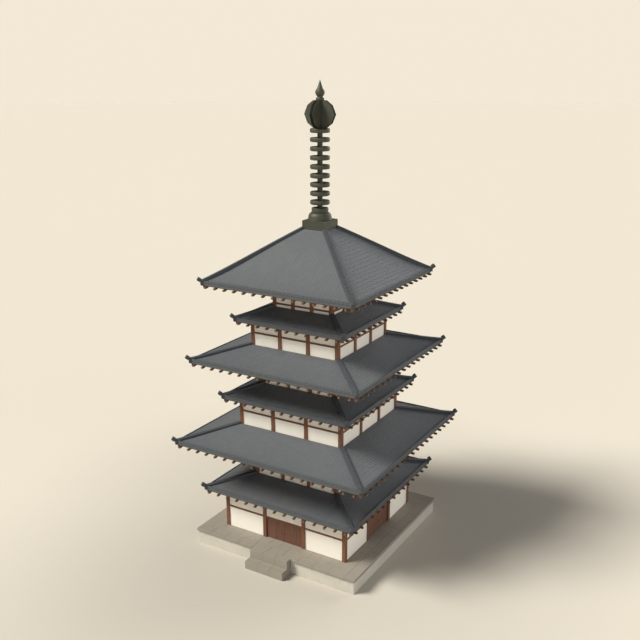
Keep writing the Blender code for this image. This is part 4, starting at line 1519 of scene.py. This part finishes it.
class PAGODA_OT_finial(bpy.types.Operator):
    """Build the bronze finial: box, bowl, ringed shaft, crossed plates and spire"""

    bl_idname = "pagoda.finial"
    bl_label = "Finial"

    # The box
    PANEL = {"border": 0.075, "slope": 0.010, "depth": 0.016}
    BOX_ARRIS = 0.012
    BOX_SHORTEST_EDGE = 0.55

    # The bowl: how its curve starts inside the shaft's width, where it ends, and the rim at its foot
    CURVE_INSET = 0.12
    CURVE_LEVEL = 0.01
    CURVE_END = (0.02, 0.10)
    FOOT_RIM = ((-0.006, 0.092), (0.0, 0.08), (0.0, 0.012), (-0.012, 0.0))

    # The shaft and its rings
    SHAFT = 0.19
    RINGS = 9
    RING_LOWEST = 25.765
    RING_SPACING = 0.621
    RING_THICK = 0.29
    RING_ROUND = 0.075
    DISC = 0.60
    DISC_THICK = 0.33
    DISC_ROUND = 0.030
    DISC_LIFT = 0.012

    # The blades
    PLATE_THICK = 0.25
    PLATE_ARRIS = 0.014
    CORE_ARRIS = 0.004
    RIM_START = 0.02
    SHOULDER = (0.955, 0.60)
    CROWN_REACH = 0.50

    # The collar, with its shoulder and foot as steps from its edge, the ball and the spike's tip
    COLLAR = 0.29
    COLLAR_DROP = 0.29
    COLLAR_SHOULDER = ((-0.015, -0.085), (0.0, -0.105))
    COLLAR_FOOT = ((0.0, 0.01), (-0.01, 0.0))
    TIP = (0.010, 0.02)
    BALL = 0.325
    BALL_HEIGHT = 33.28

    def execute(self, context):
        self.box()
        self.bowl()
        self.shaft()
        self.plates()
        self.spire()
        return {"FINISHED"}

    def add(self, name, shape, node, smooth=35):
        finishes = ["aged_bronze", "blackened_bronze"]
        piece(name, shape, finishes, [node], smooth_below=smooth)

    def box(self):
        """The square box, with a sunk panel on each side."""
        shape = cuboid(*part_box("finial_base"))
        walls = [face for face in shape.faces if abs(face.normal.z) < 0.5]
        sink_panels(shape, walls, **self.PANEL)
        edges = [edge for edge in shape.edges if edge.calc_length() > self.BOX_SHORTEST_EDGE]
        ease_edges(shape, self.BOX_ARRIS, [edge for edge in edges if edge.calc_face_angle(0.0) > 1.2])
        self.add("finial_box", shape, "finial_base", smooth=20)

    def bowl(self):
        """The upturned bowl, from its flat top to the rounded rim at its foot."""
        low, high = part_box("finial_bowl")
        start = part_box("finial_shaft")[1].x - self.CURVE_INSET
        inside, lift = self.CURVE_END
        rim = low.z + lift
        profile = [(0.0, high.z), (start - self.CURVE_LEVEL, high.z)]
        profile += arc((start, rim), high.x - inside - start, 90.0, 0.0, 14, rise=high.z - rim)
        profile += [(high.x + out, low.z + up) for out, up in self.FOOT_RIM]
        profile.append((0.0, low.z))
        self.add("finial_bowl_cast", turned(profile), "finial_bowl")

    def rounded_disc(self, radius, low, high, corner):
        """Profile points of a disc with rounded edges, from the shaft out and back, top first."""
        points = [(self.SHAFT, high)]
        points += arc((radius - corner, high - corner), corner, 90.0, 0.0, 5)
        points += arc((radius - corner, low + corner), corner, 0.0, -90.0, 5)
        points.append((self.SHAFT, low))
        return points

    def shaft(self):
        """The shaft with its nine rings and the disc at its foot."""
        low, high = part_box("finial_shaft")
        profile = [(0.0, high.z), (self.SHAFT, high.z)]
        rise = self.RING_THICK / 2
        for index in reversed(range(self.RINGS)):
            middle = self.RING_LOWEST + index * self.RING_SPACING
            profile += self.rounded_disc(high.x, middle - rise, middle + rise, self.RING_ROUND)
        disc_low, disc_high = low.z + self.DISC_LIFT, low.z + self.DISC_THICK
        profile += self.rounded_disc(self.DISC, disc_low, disc_high, self.DISC_ROUND)
        profile += [(self.SHAFT, low.z), (0.0, low.z)]
        self.add("finial_rings", turned(profile), "finial_shaft")

    def plates(self):
        """Four plain upright blades around a square core, each with a nearly black rim of painted shade."""
        low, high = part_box("finial_plates")
        half_thick = self.PLATE_THICK / 2
        middle, rise = (low.z + high.z) / 2, (high.z - low.z) / 2
        reach, lift = self.SHOULDER
        inner = half_thick + GAP
        outline = [(inner, -rise), (self.CROWN_REACH, -rise), (reach, -lift), (high.x, 0.0)]
        outline += [(reach, lift), (self.CROWN_REACH, rise), (inner, rise)]
        places = [(x, -half_thick, middle + z) for x, z in outline]
        blade = prism(places, (0, self.PLATE_THICK, 0))[0]
        ease_edges(blade, self.PLATE_ARRIS)
        # The blades' outer edge faces take the nearly black bronze, as painted shade
        for face in blade.faces:
            if abs(face.normal.y) < 0.5 and face.calc_center_median().x > inner + self.RIM_START:
                face.material_index = 1
        shape = blank()
        on_four_sides(shape, blade, 0.5)
        corner, far = (-half_thick, -half_thick, low.z), (half_thick, half_thick, high.z)
        stamp(shape, block(corner, far, 2, self.CORE_ARRIS), tone=0.5)
        self.add("finial_blades", shape, "finial_plates", smooth=25)

    def spire(self):
        """The collar, the ball and the spike."""
        low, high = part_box("finial_spire")
        top = self.BALL_HEIGHT - self.COLLAR_DROP
        profile = [(0.0, high.z), (self.TIP[0], high.z - self.TIP[1])]
        profile += arc((0.0, self.BALL_HEIGHT), self.BALL, 50.0, -50.0, 16)
        profile.append((self.SHAFT, top))
        profile += [(self.COLLAR + out, top + up) for out, up in self.COLLAR_SHOULDER]
        profile += [(self.COLLAR + out, low.z + up) for out, up in self.COLLAR_FOOT]
        profile.append((0.0, low.z))
        self.add("finial_ball_and_spike", turned(profile), "finial_spire", smooth=50)


class PAGODA_PT_sidebar(bpy.types.Panel):
    """The pagoda's pieces and sizes in the 3D view's sidebar"""

    bl_idname = "PAGODA_PT_sidebar"
    bl_label = "Timber Pagoda"
    bl_space_type = "VIEW_3D"
    bl_region_type = "UI"
    bl_category = "Pagoda"

    def draw(self, context):
        for operator in OPERATORS:
            self.layout.operator(operator.bl_idname)
        for group, field in zip(GROUPS, ("tiles", "timbers", "stones", "colours", "stage")):
            box = self.layout.box()
            for key in group.__annotations__:
                box.prop(getattr(settings(), field), key)


GROUPS = (PagodaTileSizes, PagodaTimberSizes, PagodaStoneSizes, PagodaColours, PagodaStage, PagodaSettings)
OPERATORS = (
    PAGODA_OT_stage,
    PAGODA_OT_platform,
    PAGODA_OT_steps,
    PAGODA_OT_ground_timbers,
    PAGODA_OT_upper_timbers,
    PAGODA_OT_plaster,
    PAGODA_OT_doors,
    PAGODA_OT_rafters,
    PAGODA_OT_soffits,
    PAGODA_OT_roofs,
    PAGODA_OT_hip_ridges,
    PAGODA_OT_finial,
)
CLASSES = GROUPS + OPERATORS + (PAGODA_PT_sidebar,)


def register():
    for item in CLASSES:
        bpy.utils.register_class(item)
    bpy.types.Scene.pagoda = bpy.props.PointerProperty(type=PagodaSettings)


def unregister():
    del bpy.types.Scene.pagoda
    for item in reversed(CLASSES):
        bpy.utils.unregister_class(item)


def main():
    register()
    for operator in OPERATORS:
        category, name = operator.bl_idname.split(".")
        getattr(getattr(bpy.ops, category), name)()


if __name__ == "__main__":
    main()
